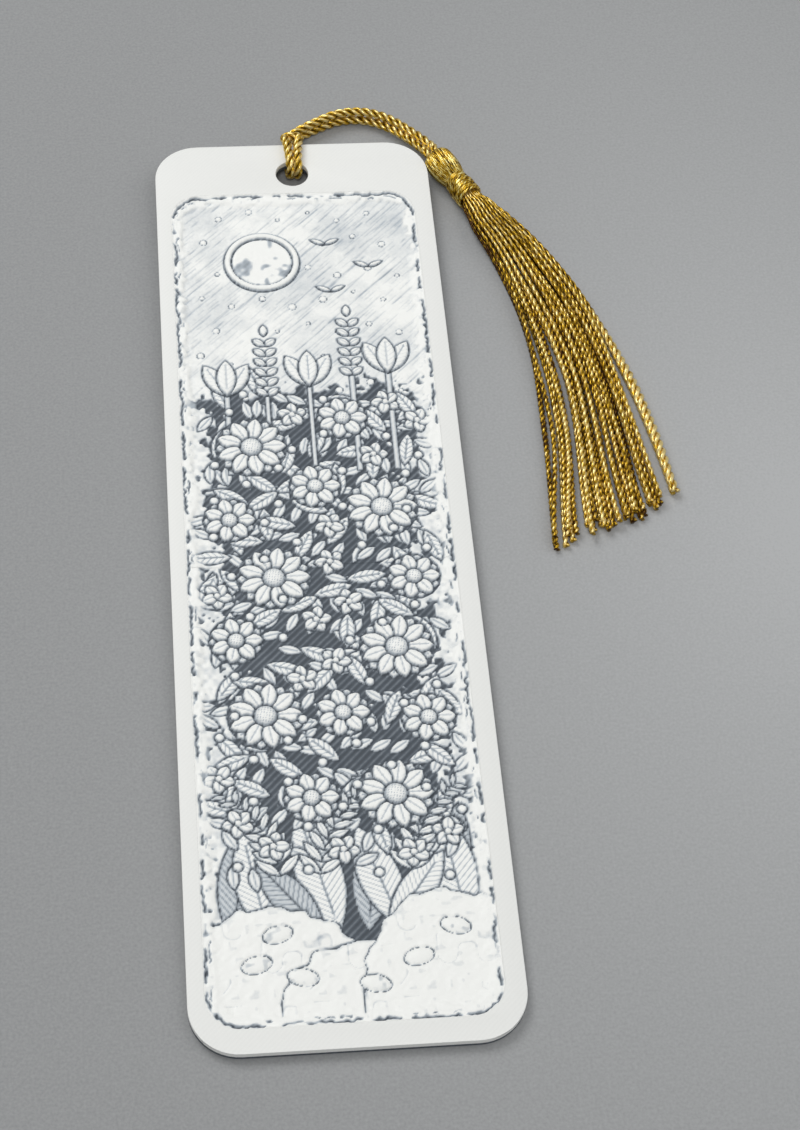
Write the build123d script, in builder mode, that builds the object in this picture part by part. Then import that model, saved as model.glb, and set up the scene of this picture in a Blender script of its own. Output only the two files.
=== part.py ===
"""A relief-printed bookmark card with a twisted gold cord and a thread tassel.

Frame, in millimetres: the origin is on the table under the middle of the card, +X runs across
the card to the right, +Y along it towards the cord hole, and +Z up.  The card leans on its lower
edge and on the cord that passes under the strip between its hole and its top edge.
"""
import os
from math import atan, cos, degrees, pi, radians, sin, sqrt, tan

from build123d import *

# Card: a dark base sheet with a white rim and a white relief printed on it
card_width = 42.0
card_length = 150.0
corner_radius = 6.5
base_thickness = 0.6
rim_height = 0.9
hole_diameter = 5.0
hole_inset = 6.1
rim_left = 2.15
rim_right = 2.65
rim_bottom = 3.25
rim_top = 10.15
window_corner = 4.5

# Broken band round the picture
groove_width = 0.5
band_width = 0.9
band_height = 0.7
break_width = 0.4
side_breaks = 11
end_breaks = 4
break_reach = 0.9
picture_margin = 0.6

# Relief heights over the base sheet
petal_height = 0.6
heart_height = 0.85
blossom_height = 0.5
cup_height = 0.62
spike_height = 0.5
leaf_height = 0.36
fern_height = 0.3
bud_height = 0.45
stem_height = 0.25
bank_height = 0.4
pebble_height = 0.6
hatch_height = 0.2
moon_height = 0.45
halo_height = 0.7
bird_height = 0.5

# Relief motifs
large_daisy_radius = 5.0
large_heart_radius = 1.5
large_petals = 9
small_daisy_radius = 3.6
small_heart_radius = 1.1
small_petals = 7
large_petal_width = 2.2
small_petal_width = 2.0
heart_taper = 25.0
blossom_radius = 2.1
blossom_petals = 5
blossom_petal_width = 1.5
blossom_tries = 60
cup_width = 5.0
cup_length = 6.4
cup_petal_width = 2.6
cup_spread = 30.0
spike_length = 11.0
spike_pairs = 6
spike_bud_length = 1.9
spike_bud_width = 1.0
spike_bud_lift = 35.0
leaf_length = 5.4
leaf_width = 1.9
leaf_spacing = 3.9
leaf_tries = 90
frond_radius = 17.0
frond_sweep = 52.0
frond_leaflets = 9
leaflet_length = 3.4
leaflet_start = 0.35
leaflet_width = 1.0
leaflet_lean = 48.0
frond_taper = 0.55
bud_radius = 0.6
bud_sides = 8
bud_tries = 130
stem_width = 0.6
stem_depth = 0.22
pebble_length = 3.8
pebble_width = 2.3
pebble_lean = 14.0
moon_radius = 5.6
halo_width = 1.1
bird_span = 4.4
bird_lift = 24.0
bird_thickness = 0.55
hatch_width = 0.8
hatch_pitch = 2.3
hatch_slant = 45.0
motif_gap = 0.25
lens_shoulder = 0.34
disc_sides = 10
moon_sides = 24
mound_sides = 24
least_island = 0.7
scatter_reach = 0.95

# Cord and the hitch that holds it in the hole
cord_diameter = 1.4
cord_sides = 8
cord_standoff = 0.9
cord_fold = 1.05
cord_pair = 1.48
bight_spread = 0.46
swing_reach = 3.4
swing_side = 0.5
floor_gap = 0.02
swing_gap = 0.8

# Tassel
tassel_heading = -62.9
head_clearance = 0.62
head_drop = 0.85
head_length = 5.3
head_diameter = 4.9
head_top_diameter = 3.5
head_neck_diameter = 3.9
head_bore = 2.9
head_shoulder_diameter = 4.5
head_shoulder = 0.95
head_widest = 2.3
head_waist_diameter = 4.65
head_waist = 3.8
knot_diameter = 2.6
knot_top = 1.8
knot_length = 3.0
cord_tail = 1.6
cord_grip = 1.5
neck_length = 5.4
neck_diameter = 3.1
neck_dome = 0.74
wrap_thread = 0.4
wrap_sides = 6
wrap_pitch = 0.86
wrap_turns = 5.25
wrap_steps = 16
fit_gap = 0.05
root_gap = 0.12
root_diameter = 3.5
root_thickness = 0.6
skirt_heading = -70.0
skirt_length = 63.5
skirt_half_width = 9.3
skirt_bow = 26.0
skirt_droop = -8.0
skirt_fan = 0.6
skirt_settle = 18.0
strand_count = 30
strand_layers = 3
strand_root = 0.34
strand_diameter = 0.74
strand_sides = 6
strand_gap = 0.06
strand_spans = 6
strand_crowding = 1.6
root_layer = 0.85
uneven_cut = 2.4
loose_spring = 0.5
loose_diameter = 1.3
loose_length = 57.0

os.makedirs("parts", exist_ok=True)

# Places worked out from the sizes above
card_thickness = base_thickness + rim_height
cord_radius = cord_diameter / 2
top_edge = card_length / 2
hole_y = top_edge - hole_inset
hole_cord_y = hole_y + hole_diameter / 2 - cord_standoff - fit_gap
under_cord = cord_standoff + cord_radius + floor_gap
tilt = atan(under_cord / (hole_cord_y + top_edge))
card_plane = Plane(
    origin=(0, card_thickness / 2 * sin(tilt), top_edge * sin(tilt)),
    x_dir=(1, 0, 0),
    z_dir=(0, -sin(tilt), cos(tilt)),
)
relief_plane = card_plane.offset(base_thickness)

window_width = card_width - rim_left - rim_right
window_length = card_length - rim_top - rim_bottom
window_center = ((rim_left - rim_right) / 2, (rim_bottom - rim_top) / 2)
picture_inset = groove_width + band_width + picture_margin
picture_width = window_width - 2 * picture_inset
picture_length = window_length - 2 * picture_inset
picture_corner = window_corner - picture_inset / 2
golden_angle = 180 * (3 - sqrt(5))
plastic_number = 1.32471795724


def finish(part, name):
    """Label a finished piece and write it."""
    part.label = name
    export_step(part, f"parts/{name}.step")


def spot(across, along):
    """A place in the picture, given as shares of its half width and half length."""
    center_x, center_y = window_center
    return center_x + across * picture_width / 2, center_y + along * picture_length / 2


def scattered(count, low, high):
    """Evenly scattered places between two heights of the picture."""
    for index in range(1, count + 1):
        across = (index / plastic_number) % 1
        along = (index / plastic_number**2) % 1
        yield spot(scatter_reach * (2 * across - 1), low + (high - low) * along)


def far_from(place, others, distance):
    """Whether a place keeps a distance from all the others."""
    return all((Vector(*place) - Vector(*other)).length > distance for other in others)


def lens(length, width):
    """A six-cornered leaf or petal outline, its foot at the origin, pointing along +X."""
    shoulder = lens_shoulder * length
    with BuildSketch() as outline:
        with BuildLine():
            Polyline(
                (0, 0),
                (shoulder, -width / 2),
                (length - shoulder, -width / 2),
                (length, 0),
                (length - shoulder, width / 2),
                (shoulder, width / 2),
                close=True,
            )
        make_face()
    return outline.sketch


def margin(sketch):
    """A sketch grown by the gap that is kept between motifs, with its corners left sharp."""
    return offset(sketch, motif_gap, kind=Kind.INTERSECTION, mode=Mode.PRIVATE)


def disc(radius, mode=Mode.ADD):
    """A many-sided outline that a circle of this radius fits in, at each location in force."""
    RegularPolygon(radius, disc_sides, major_radius=False, mode=mode)


def rosette(radius, heart, petals, petal):
    """A ring of petals from the heart to the radius, open in the middle."""
    with BuildSketch() as ring:
        with PolarLocations(heart, petals):
            add(petal)
        disc(heart + motif_gap, Mode.SUBTRACT)
    return ring.sketch


def printed(sketch):
    """The faces of a relief sketch that are large enough to print."""
    return [face for face in sketch.sketch.faces() if face.area > least_island]


# The dark base sheet
with BuildPart() as base_sheet:
    with BuildSketch(card_plane):
        RectangleRounded(card_width, card_length, corner_radius)
        with Locations((0, hole_y)):
            Circle(hole_diameter / 2, mode=Mode.SUBTRACT)
    extrude(amount=base_thickness)
finish(base_sheet.part, "base_sheet")

# The white rim, with the picture's window and the cord hole
with BuildPart() as white_rim:
    with BuildSketch(relief_plane):
        RectangleRounded(card_width, card_length, corner_radius)
        with Locations(window_center):
            RectangleRounded(window_width, window_length, window_corner, mode=Mode.SUBTRACT)
        with Locations((0, hole_y)):
            Circle(hole_diameter / 2, mode=Mode.SUBTRACT)
    extrude(amount=rim_height)
finish(white_rim.part, "white_rim")

# The broken band round the picture
band_inset = groove_width + band_width
with BuildPart() as border_band:
    with BuildSketch(relief_plane):
        with Locations(window_center):
            RectangleRounded(
                window_width - 2 * groove_width,
                window_length - 2 * groove_width,
                window_corner - groove_width,
            )
            RectangleRounded(
                window_width - 2 * band_inset,
                window_length - 2 * band_inset,
                window_corner - band_inset,
                mode=Mode.SUBTRACT,
            )
        for side in (-1, 1):
            for index in range(1, side_breaks + 1):
                along = break_reach * (2 * ((index * golden_angle / 360) % 1) - 1) * side
                with Locations((window_center[0] + side * window_width / 2, spot(0, along)[1])):
                    Rectangle(3 * band_inset, break_width, mode=Mode.SUBTRACT)
            for index in range(1, end_breaks + 1):
                across = break_reach * (2 * ((index * golden_angle / 360) % 1) - 1) * side
                with Locations((spot(across, 0)[0], window_center[1] + side * window_length / 2)):
                    Rectangle(break_width, 3 * band_inset, mode=Mode.SUBTRACT)
    extrude(amount=band_height)
finish(border_band.part, "border_band")

# Where the motifs stand in the picture, as shares of its half width and half length
large_places = (
    (-0.52, 0.31), (0.55, 0.14), (-0.4, -0.03), (0.56, -0.21), (-0.54, -0.36), (0.44, -0.55),
)
small_places = (
    (0.28, 0.38), (-0.74, 0.12), (0.0, 0.2), (0.76, -0.04), (-0.74, -0.18), (0.08, -0.36),
    (0.76, -0.38), (-0.22, -0.55),
)
large_daisies = [spot(*place) for place in large_places]
small_daisies = [spot(*place) for place in small_places]
cups = [spot(*place) for place in ((-0.7, 0.5), (0.02, 0.52), (0.72, 0.55))]
spikes = [spot(*place) for place in ((-0.35, 0.45), (0.4, 0.5))]
moon_center = spot(-0.32, 0.83)
birds = [spot(*place) for place in ((0.26, 0.88), (0.64, 0.81), (0.28, 0.74))]
meadow_top = 0.46
sky_start = 0.5
leaf_foot = -0.62
bank_top = -0.74
bank_mounds = ((-0.6, 13.0, 14.5), (0.05, 10.0, 9.0), (0.72, 11.0, 16.0))
pebble_places = (
    (-0.72, -0.9), (-0.38, -0.93), (-0.55, -0.84), (0.16, -0.95), (0.5, -0.9), (0.8, -0.84),
)
frond_feet = ((-0.5, -1), (-0.2, 1), (0.5, 1))

blossoms = []
for place in scattered(blossom_tries, bank_top, meadow_top):
    if (
        far_from(place, large_daisies, large_daisy_radius + blossom_radius + motif_gap)
        and far_from(place, small_daisies, small_daisy_radius + blossom_radius + motif_gap)
        and far_from(place, blossoms, 2 * blossom_radius + motif_gap)
        and far_from(place, cups + spikes, cup_width)
    ):
        blossoms.append(place)

# Outlines that other motifs are cut back from
with BuildSketch() as picture_field:
    with Locations(window_center):
        RectangleRounded(picture_width, picture_length, picture_corner)

with BuildSketch() as flower_cover:
    with Locations(*large_daisies):
        disc(large_daisy_radius + motif_gap)
    with Locations(*small_daisies):
        disc(small_daisy_radius + motif_gap)
    with Locations(*blossoms):
        disc(blossom_radius + motif_gap)

# Daisies: petals in two sizes, with raised hearts
large_rosette = rosette(
    large_daisy_radius, large_heart_radius, large_petals,
    lens(large_daisy_radius - large_heart_radius, large_petal_width),
)
small_rosette = rosette(
    small_daisy_radius, small_heart_radius, small_petals,
    lens(small_daisy_radius - small_heart_radius, small_petal_width),
)
with BuildPart() as daisy_petals:
    with BuildSketch(relief_plane) as daisy_outline:
        with Locations(*large_daisies):
            add(large_rosette)
        with Locations(*small_daisies):
            add(small_rosette)
        add(picture_field.sketch, mode=Mode.INTERSECT)
    extrude(amount=petal_height)
finish(daisy_petals.part, "daisy_petals")

with BuildPart() as daisy_hearts:
    with BuildSketch(relief_plane):
        with Locations(*large_daisies):
            RegularPolygon(large_heart_radius, disc_sides)
        with Locations(*small_daisies):
            RegularPolygon(small_heart_radius, disc_sides)
    extrude(amount=heart_height, taper=heart_taper)
finish(daisy_hearts.part, "daisy_hearts")

# Five-petalled blossoms in the gaps between the daisies
with BuildSketch() as blossom_outline:
    with PolarLocations(0, blossom_petals):
        add(lens(blossom_radius, blossom_petal_width))
with BuildPart() as small_blossoms:
    with BuildSketch(relief_plane) as blossom_sketch:
        with Locations(*[Location(place, index * golden_angle) for index, place in enumerate(blossoms)]):
            add(blossom_outline.sketch)
        add(picture_field.sketch, mode=Mode.INTERSECT)
    extrude(to_extrude=printed(blossom_sketch), amount=blossom_height)
finish(small_blossoms.part, "small_blossoms")

# Cup flowers: three upright petals each
cup_petal = lens(cup_length, cup_petal_width)
with BuildSketch() as cup_outline:
    for lean in (90 - cup_spread, 90, 90 + cup_spread):
        with Locations(Location((0, -cup_length / 2), lean)):
            add(cup_petal)
with BuildPart() as cup_flowers:
    with BuildSketch(relief_plane) as cup_sketch:
        with Locations(*cups):
            add(cup_outline.sketch)
        add(flower_cover.sketch, mode=Mode.SUBTRACT)
        add(picture_field.sketch, mode=Mode.INTERSECT)
    extrude(to_extrude=printed(cup_sketch), amount=cup_height)
finish(cup_flowers.part, "cup_flowers")

# Flower spikes: pairs of buds up a stalk, with one at the tip
spike_bud = lens(spike_bud_length, spike_bud_width)
with BuildSketch() as spike_outline:
    for step in range(spike_pairs):
        height = spike_length * step / spike_pairs
        for lean in (spike_bud_lift, 180 - spike_bud_lift):
            with Locations(Location((0, height), lean)):
                add(spike_bud)
    with Locations(Location((0, spike_length), 90)):
        add(spike_bud)
with BuildPart() as flower_spikes:
    with BuildSketch(relief_plane) as spike_sketch:
        with Locations(*spikes):
            add(spike_outline.sketch)
        add(flower_cover.sketch, mode=Mode.SUBTRACT)
        with Locations(*cups):
            add(margin(cup_outline.sketch), mode=Mode.SUBTRACT)
    extrude(to_extrude=printed(spike_sketch), amount=spike_height)
finish(flower_spikes.part, "flower_spikes")

# Stems under the cups and spikes, down to the meadow
stem_foot = spot(0, meadow_top - stem_depth)[1]
with BuildSketch() as upright_cover:
    with Locations(*cups):
        add(margin(cup_outline.sketch))
    with Locations(*spikes):
        add(margin(spike_outline.sketch))
    add(flower_cover.sketch)
with BuildSketch() as stem_outline:
    for across, along in cups + spikes:
        with Locations((across, (along + stem_foot) / 2)):
            Rectangle(stem_width, along - stem_foot)
with BuildSketch() as stem_cover:
    add(margin(stem_outline.sketch))
with BuildPart() as stems:
    with BuildSketch(relief_plane) as stem_sketch:
        add(stem_outline.sketch)
        add(upright_cover.sketch, mode=Mode.SUBTRACT)
    extrude(to_extrude=printed(stem_sketch), amount=stem_height)
finish(stems.part, "stems")

# The bank at the foot of the picture, from three low mounds
def mound(center, half_width, half_height):
    """The corners of a many-sided oval round a center."""
    turns = [2 * pi * side / mound_sides for side in range(mound_sides)]
    return [(center[0] + half_width * cos(turn), center[1] + half_height * sin(turn)) for turn in turns]


with BuildSketch() as bank_outline:
    for across, half_width, half_height in bank_mounds:
        with BuildLine():
            Polyline(*mound(spot(across, -1), half_width, half_height), close=True)
        make_face()
    add(picture_field.sketch, mode=Mode.INTERSECT)
bank_cover = margin(bank_outline.sketch)
pebble = Pos(-pebble_length / 2, 0) * lens(pebble_length, pebble_width)
pebble_cover = margin(pebble)
pebble_turns = [
    Location(spot(*place), pebble_lean * (-1) ** index) for index, place in enumerate(pebble_places)
]
with BuildPart() as bank:
    with BuildSketch(relief_plane) as bank_sketch:
        add(bank_outline.sketch)
        with Locations(*pebble_turns):
            add(pebble_cover, mode=Mode.SUBTRACT)
        add(flower_cover.sketch, mode=Mode.SUBTRACT)
    extrude(to_extrude=printed(bank_sketch), amount=bank_height)
finish(bank.part, "bank")

with BuildPart() as pebbles:
    with BuildSketch(relief_plane):
        with Locations(*pebble_turns):
            add(pebble)
        add(picture_field.sketch, mode=Mode.INTERSECT)
    extrude(amount=pebble_height)
finish(pebbles.part, "pebbles")

# Fern fronds that rise from the bank, each a curved row of leaflets in pairs
frond_leaflet = Pos(leaflet_start, 0) * lens(leaflet_length, leaflet_width)


def frond(foot, side):
    """One frond from its foot, bent to one side along an arc."""
    foot_x, foot_y = foot
    with BuildSketch() as outline:
        for step in range(1, frond_leaflets + 1):
            share = step / frond_leaflets
            turn = radians(frond_sweep * share)
            place = (
                foot_x + side * frond_radius * (1 - cos(turn)),
                foot_y + frond_radius * sin(turn),
            )
            heading = 90 - side * degrees(turn)
            size = 1 - frond_taper * share
            for lean in (-leaflet_lean, leaflet_lean):
                with Locations(Location(place, heading + lean)):
                    add(scale(frond_leaflet, size, mode=Mode.PRIVATE))
    return outline.sketch


fronds = [frond(spot(across, bank_top), side) for across, side in frond_feet]
with BuildPart() as fern_fronds:
    with BuildSketch(relief_plane) as frond_sketch:
        for outline in fronds:
            add(outline)
        add(flower_cover.sketch, mode=Mode.SUBTRACT)
        add(bank_cover, mode=Mode.SUBTRACT)
        add(picture_field.sketch, mode=Mode.INTERSECT)
    extrude(to_extrude=printed(frond_sketch), amount=fern_height)
finish(fern_fronds.part, "fern_fronds")

# Leaves behind the flowers, wherever the ferns leave room
with BuildSketch() as frond_cover:
    for outline in fronds:
        add(margin(outline))
leaf = lens(leaf_length, leaf_width)
leaf_places = []
for place in scattered(leaf_tries, leaf_foot, meadow_top):
    if far_from(place, leaf_places, leaf_spacing):
        leaf_places.append(place)
with BuildPart() as leaves:
    with BuildSketch(relief_plane) as leaf_sketch:
        for index, place in enumerate(leaf_places):
            with Locations(Location(place, index * golden_angle)):
                add(leaf)
        add(upright_cover.sketch, mode=Mode.SUBTRACT)
        add(frond_cover.sketch, mode=Mode.SUBTRACT)
        add(bank_cover, mode=Mode.SUBTRACT)
        add(picture_field.sketch, mode=Mode.INTERSECT)
        add(stem_cover.sketch, mode=Mode.SUBTRACT)
    extrude(to_extrude=printed(leaf_sketch), amount=leaf_height)
finish(leaves.part, "leaves")

# Round buds in the gaps that are left
with BuildSketch() as meadow_cover:
    add(upright_cover.sketch)
    add(stem_cover.sketch)
    add(frond_cover.sketch)
    add(bank_cover)
buds = []
for place in scattered(bud_tries, bank_top, meadow_top):
    center = Vertex(*place, 0)
    if (
        far_from(place, buds, 2 * bud_radius + motif_gap)
        and meadow_cover.sketch.distance_to(center) > bud_radius
        and leaf_sketch.sketch_local.distance_to(center) > bud_radius + motif_gap
    ):
        buds.append(place)
with BuildPart() as round_buds:
    with BuildSketch(relief_plane):
        with Locations(*buds):
            RegularPolygon(bud_radius, bud_sides)
    extrude(amount=bud_height)
finish(round_buds.part, "round_buds")

# The moon: a round face in a taller ring
face_radius = moon_radius - halo_width
with BuildPart() as moon:
    with BuildSketch(relief_plane):
        with Locations(moon_center):
            RegularPolygon(face_radius, moon_sides)
    extrude(amount=moon_height)
    with BuildSketch(relief_plane):
        with Locations(moon_center):
            RegularPolygon(moon_radius, moon_sides)
            RegularPolygon(face_radius + motif_gap, moon_sides, mode=Mode.SUBTRACT)
    extrude(amount=halo_height)
finish(moon.part, "moon")

# Birds: two bowed wings each
wing = lens(bird_span / 2, bird_thickness)
with BuildSketch() as bird_outline:
    for lean in (bird_lift, 180 - bird_lift):
        with Locations(Location((0, 0), lean)):
            add(wing)
with BuildPart() as bird_flock:
    with BuildSketch(relief_plane):
        with Locations(*birds):
            add(bird_outline.sketch)
    extrude(amount=bird_height)
finish(bird_flock.part, "birds")

# The sky: slanted print lines behind the moon, the birds and the tall flowers
sky_foot = spot(0, sky_start)[1]
sky_head = spot(0, 1)[1]
sky_reach = sky_head - sky_foot + picture_width
with BuildSketch() as sky_cover:
    with Locations(moon_center):
        disc(moon_radius + motif_gap)
    with Locations(*birds):
        disc(bird_span / 2 + motif_gap)
    add(upright_cover.sketch)
    add(stem_cover.sketch)
with BuildPart() as sky_lines:
    with BuildSketch(relief_plane) as sky_sketch:
        with Locations(Location((window_center[0], (sky_foot + sky_head) / 2), hatch_slant)):
            with GridLocations(0, hatch_pitch, 1, int(sky_reach / hatch_pitch)):
                Rectangle(2 * sky_reach, hatch_width)
        add(sky_cover.sketch, mode=Mode.SUBTRACT)
        with Locations((window_center[0], (sky_foot + sky_head) / 2)):
            Rectangle(picture_width, sky_head - sky_foot, mode=Mode.INTERSECT)
        add(picture_field.sketch, mode=Mode.INTERSECT)
        add(leaf_sketch.sketch_local, mode=Mode.SUBTRACT)
    extrude(to_extrude=printed(sky_sketch), amount=hatch_height)
finish(sky_lines.part, "sky_lines")

# Headings of the tassel, and the places where it turns
head_axis = Vector(cos(radians(tassel_heading)), sin(radians(tassel_heading)), 0)
head_side = Vector(-head_axis.Y, head_axis.X, 0)
head_rise = head_diameter / 2 + floor_gap
swing_point = Vector(swing_side, top_edge + swing_reach, 0)
lift_point = Vector(card_width / 2 + head_clearance, top_edge - head_drop, head_rise)
head_top = lift_point + head_axis * cord_tail
neck_start = head_top + head_axis * (head_length + fit_gap)
neck_mouth = neck_start + head_axis * neck_length


def route_radii(points, folds):
    """The arc at each corner of a cord's route: 0.45 of the shorter run, or a fold's own radius."""
    radii = []
    for index, corner in enumerate(points[1:-1], start=1):
        before = corner - points[index - 1]
        after = points[index + 1] - corner
        half_turn = radians(before.get_angle(after)) / 2
        natural = 0.45 * min(before.length, after.length) / tan(half_turn)
        radii.append(folds.get(index, natural))
    return radii


def cord_tube(points, folds, name):
    """A cord of straight runs and tangent arcs, its volume set against section times length."""
    radii = route_radii(points, folds)
    with BuildPart() as tube:
        with BuildLine() as route:
            FilletPolyline(*points, radius=radii)
        start = route.line @ 0
        heading = route.line % 0
        with BuildSketch(Plane(start, x_dir=heading.cross(Vector(0, 0, 1)), z_dir=heading)) as section:
            RegularPolygon(cord_radius, cord_sides, rotation=180 / cord_sides)
        sweep()
    expected = section.sketch.area * route.wires()[0].length
    print(name, "radii", [round(radius, 2) for radius in radii])
    print(name, "volume over section times length", round(tube.part.volume / expected, 4))
    return tube.part


# The hitch: two strands under the top strip, up through the hole, and one bight over the edge
half_pair = cord_pair / 2
under = -cord_standoff
over = card_thickness + cord_standoff
bight = half_pair + bight_spread
hitch_points = [
    (0.6, top_edge + 2.6, under),
    (half_pair, top_edge + 0.4, under),
    (half_pair + 0.02, hole_cord_y, under),
    (half_pair + 0.02, hole_cord_y, over),
    (bight, top_edge - 0.7, over),
    (bight, top_edge + 1.4, over + 0.2),
    (-bight, top_edge + 1.4, over + 0.2),
    (-bight, top_edge - 0.7, over),
    (-half_pair - 0.02, hole_cord_y, over),
    (-half_pair - 0.02, hole_cord_y, under),
    (-half_pair, top_edge + 0.3, under),
    (-half_pair + 0.04, top_edge + 1.5, under + 1.41),
    (0.05, top_edge + 2.74, under + 1.56),
]
hitch_route = [card_plane.from_local_coords(Vector(*point)) for point in hitch_points]
hitch_folds = {index: cord_fold for index in (2, 3, 5, 6, 8, 9)}
finish(cord_tube(hitch_route, hitch_folds, "hitch_cord"), "hitch_cord")

# The loop: both strands rise from the hitch and run round the corner to the tassel's head
strand_low = cord_radius + floor_gap
strand_high = strand_low + cord_pair
outer_end = lift_point + head_side * half_pair - Vector(0.57, -0.82, 0) * swing_gap
inner_end = lift_point - head_side * half_pair - Vector(0.57, -0.82, 0.2) * swing_gap
outer_points = [
    (swing_point.X, swing_point.Y, strand_high),
    (4.3, top_edge + 5.6, strand_high),
    (8.2, top_edge + 7.6, strand_high + 0.05),
    (12.4, top_edge + 7.7, strand_high + 0.1),
    (16.2, top_edge + 5.9, strand_high + 0.15),
    (19.4, top_edge + 2.8, strand_high + 0.2),
    outer_end,
]
inner_points = [
    (swing_point.X, swing_point.Y, strand_low),
    (4.3, top_edge + 5.5, strand_low),
    (8.3, top_edge + 7.4, strand_low + 0.02),
    (12.0, top_edge + 6.9, strand_low + 0.2),
    (15.6, top_edge + 4.7, strand_low + 0.55),
    (18.5, top_edge + 1.8, strand_low + 1.1),
    inner_end,
]
outer_route = [Vector(point) for point in outer_points]
inner_route = [Vector(point) for point in inner_points]
finish(cord_tube(outer_route, {}, "loop_strand_outer"), "loop_strand_outer")
finish(cord_tube(inner_route, {}, "loop_strand_inner"), "loop_strand_inner")

# The cord's two ends and the knot that keeps them in the head
profile_plane = Plane(head_top, x_dir=head_side, z_dir=head_side.cross(head_axis))
axis_line = Axis(head_top, head_axis)
with BuildPart() as cord_knot:
    with BuildSketch(Plane(lift_point, x_dir=head_side, z_dir=head_axis)):
        with Locations((-half_pair, 0), (half_pair, 0)):
            RegularPolygon(cord_radius, cord_sides, rotation=180 / cord_sides)
    extrude(amount=cord_tail + cord_grip)
    with BuildSketch(profile_plane):
        with BuildLine():
            Polyline(
                (knot_top / 2, cord_grip - fit_gap),
                (0, cord_grip - fit_gap),
                (0, cord_grip + knot_length),
                (knot_top / 2, cord_grip + knot_length),
                (knot_diameter / 2, cord_grip + knot_length / 2),
                close=True,
            )
        make_face()
    revolve(axis=axis_line)
finish(cord_knot.part, "cord_knot")

# The head: threads folded over the knot, a domed barrel
with BuildPart() as tassel_head:
    with BuildSketch(profile_plane):
        with BuildLine():
            Polyline(
                (head_neck_diameter / 2, head_length),
                (head_bore / 2, head_length),
                (head_bore / 2, 0),
                (head_top_diameter / 2, 0),
                (head_shoulder_diameter / 2, head_shoulder),
                (head_diameter / 2, head_widest),
                (head_waist_diameter / 2, head_waist),
                close=True,
            )
        make_face()
    revolve(axis=axis_line)
finish(tassel_head.part, "tassel_head")

# The neck: the bundle of threads, drawn in to a dome at the mouth
neck_plane = Plane(neck_start, x_dir=head_side, z_dir=head_side.cross(head_axis))
with BuildPart() as neck_core:
    with BuildSketch(neck_plane):
        with BuildLine():
            Polyline(
                (0, neck_length),
                (0, 0),
                (neck_diameter / 2, 0),
                (neck_diameter / 2, neck_length - neck_dome),
            )
            TangentArc(
                (0, neck_length),
                (neck_diameter / 2, neck_length - neck_dome),
                tangent=(1, 0),
            )
        make_face()
    revolve(axis=Axis(neck_start, head_axis))
finish(neck_core.part, "neck_core")

# The wrap: one thread wound round the neck, through sections at even parts of a turn
wrap_radius = neck_diameter / 2 + fit_gap + wrap_thread / 2
wrap_start = (neck_length - neck_dome - wrap_pitch * wrap_turns) / 2
up = Vector(0, 0, 1)


def wrap_plane(turns):
    """A plane square across the winding after a number of turns, with the neck's axis as its X."""
    angle = 2 * pi * turns
    radial = head_side * cos(angle) + up * sin(angle)
    around = up * cos(angle) - head_side * sin(angle)
    place = neck_start + head_axis * (wrap_start + wrap_pitch * turns) + radial * wrap_radius
    heading = around * (2 * pi * wrap_radius) + head_axis * wrap_pitch
    return Plane(place, x_dir=head_axis, z_dir=heading)


with BuildPart() as neck_wrap:
    for step in range(round(wrap_steps * wrap_turns) + 1):
        with BuildSketch(wrap_plane(step / wrap_steps)) as thread_section:
            RegularPolygon(wrap_thread / 2, wrap_sides)
    loft(ruled=True)
finish(neck_wrap.part, "neck_wrap")
turn_length = sqrt((2 * pi * wrap_radius) ** 2 + wrap_pitch**2)
wrap_expected = thread_section.sketch.area * turn_length * wrap_turns
print("neck_wrap gap between turns", round(wrap_pitch - wrap_thread, 3))
print("neck_wrap volume over section times length", round(neck_wrap.part.volume / wrap_expected, 4))

# The skirt: threads in columns and layers that fan out from the neck and settle on the table
skirt_axis = Vector(cos(radians(skirt_heading)), sin(radians(skirt_heading)), 0)
skirt_side = Vector(-skirt_axis.Y, skirt_axis.X, 0)
skirt_start = neck_mouth + skirt_axis * root_gap
strand_columns = strand_count // strand_layers


def skirt_plane(distance):
    """A plane square across the skirt at a distance from its root."""
    return Plane(skirt_start + skirt_axis * distance, x_dir=skirt_side, z_dir=skirt_axis)


def reach(distance):
    """How far along its free length a place on the skirt is, from 0 to 1."""
    return max(0, distance - root_thickness) / (skirt_length - root_thickness)


def half_width(distance):
    """Half the width of the fan at a distance from the root."""
    return root_diameter / 2 + (skirt_half_width - root_diameter / 2) * reach(distance) ** skirt_fan


def drift(distance):
    """How far the middle of the skirt has bent off its straight heading."""
    share = reach(distance)
    return skirt_bow * share * (1 - share) ** 2 + skirt_droop * share**2


def settled(distance):
    """From 0 at the neck, where threads are packed round, to 1 where they lie in layers."""
    share = min(1, reach(distance) * skirt_length / skirt_settle)
    return share * share * (3 - 2 * share)


def strand_place(column, layer, distance):
    """Where a thread passes, across the skirt and up from its middle, and its radius there."""
    pitch = 2 * half_width(distance) / strand_columns
    middle_layer = (strand_layers - 1) / 2
    steps = column - (strand_columns - 1) / 2 + (layer - middle_layer) / strand_layers
    packed = root_layer * (layer - middle_layer) * sqrt(1 - (2 * steps / (strand_columns + 1)) ** 2)
    laid = strand_diameter / 2 + floor_gap + layer * (strand_diameter + strand_gap) - head_rise
    share = settled(distance)
    radius = min(strand_diameter, pitch - strand_gap) / 2
    return (drift(distance) + pitch * steps, packed + share * (laid - packed)), radius


def thread_stations(length):
    """Distances of a thread's sections, closer together where it bends near the neck."""
    first = root_thickness - fit_gap
    shares = [(step / strand_spans) ** strand_crowding for step in range(strand_spans + 1)]
    return [first + (length - first) * share for share in shares]


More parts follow.
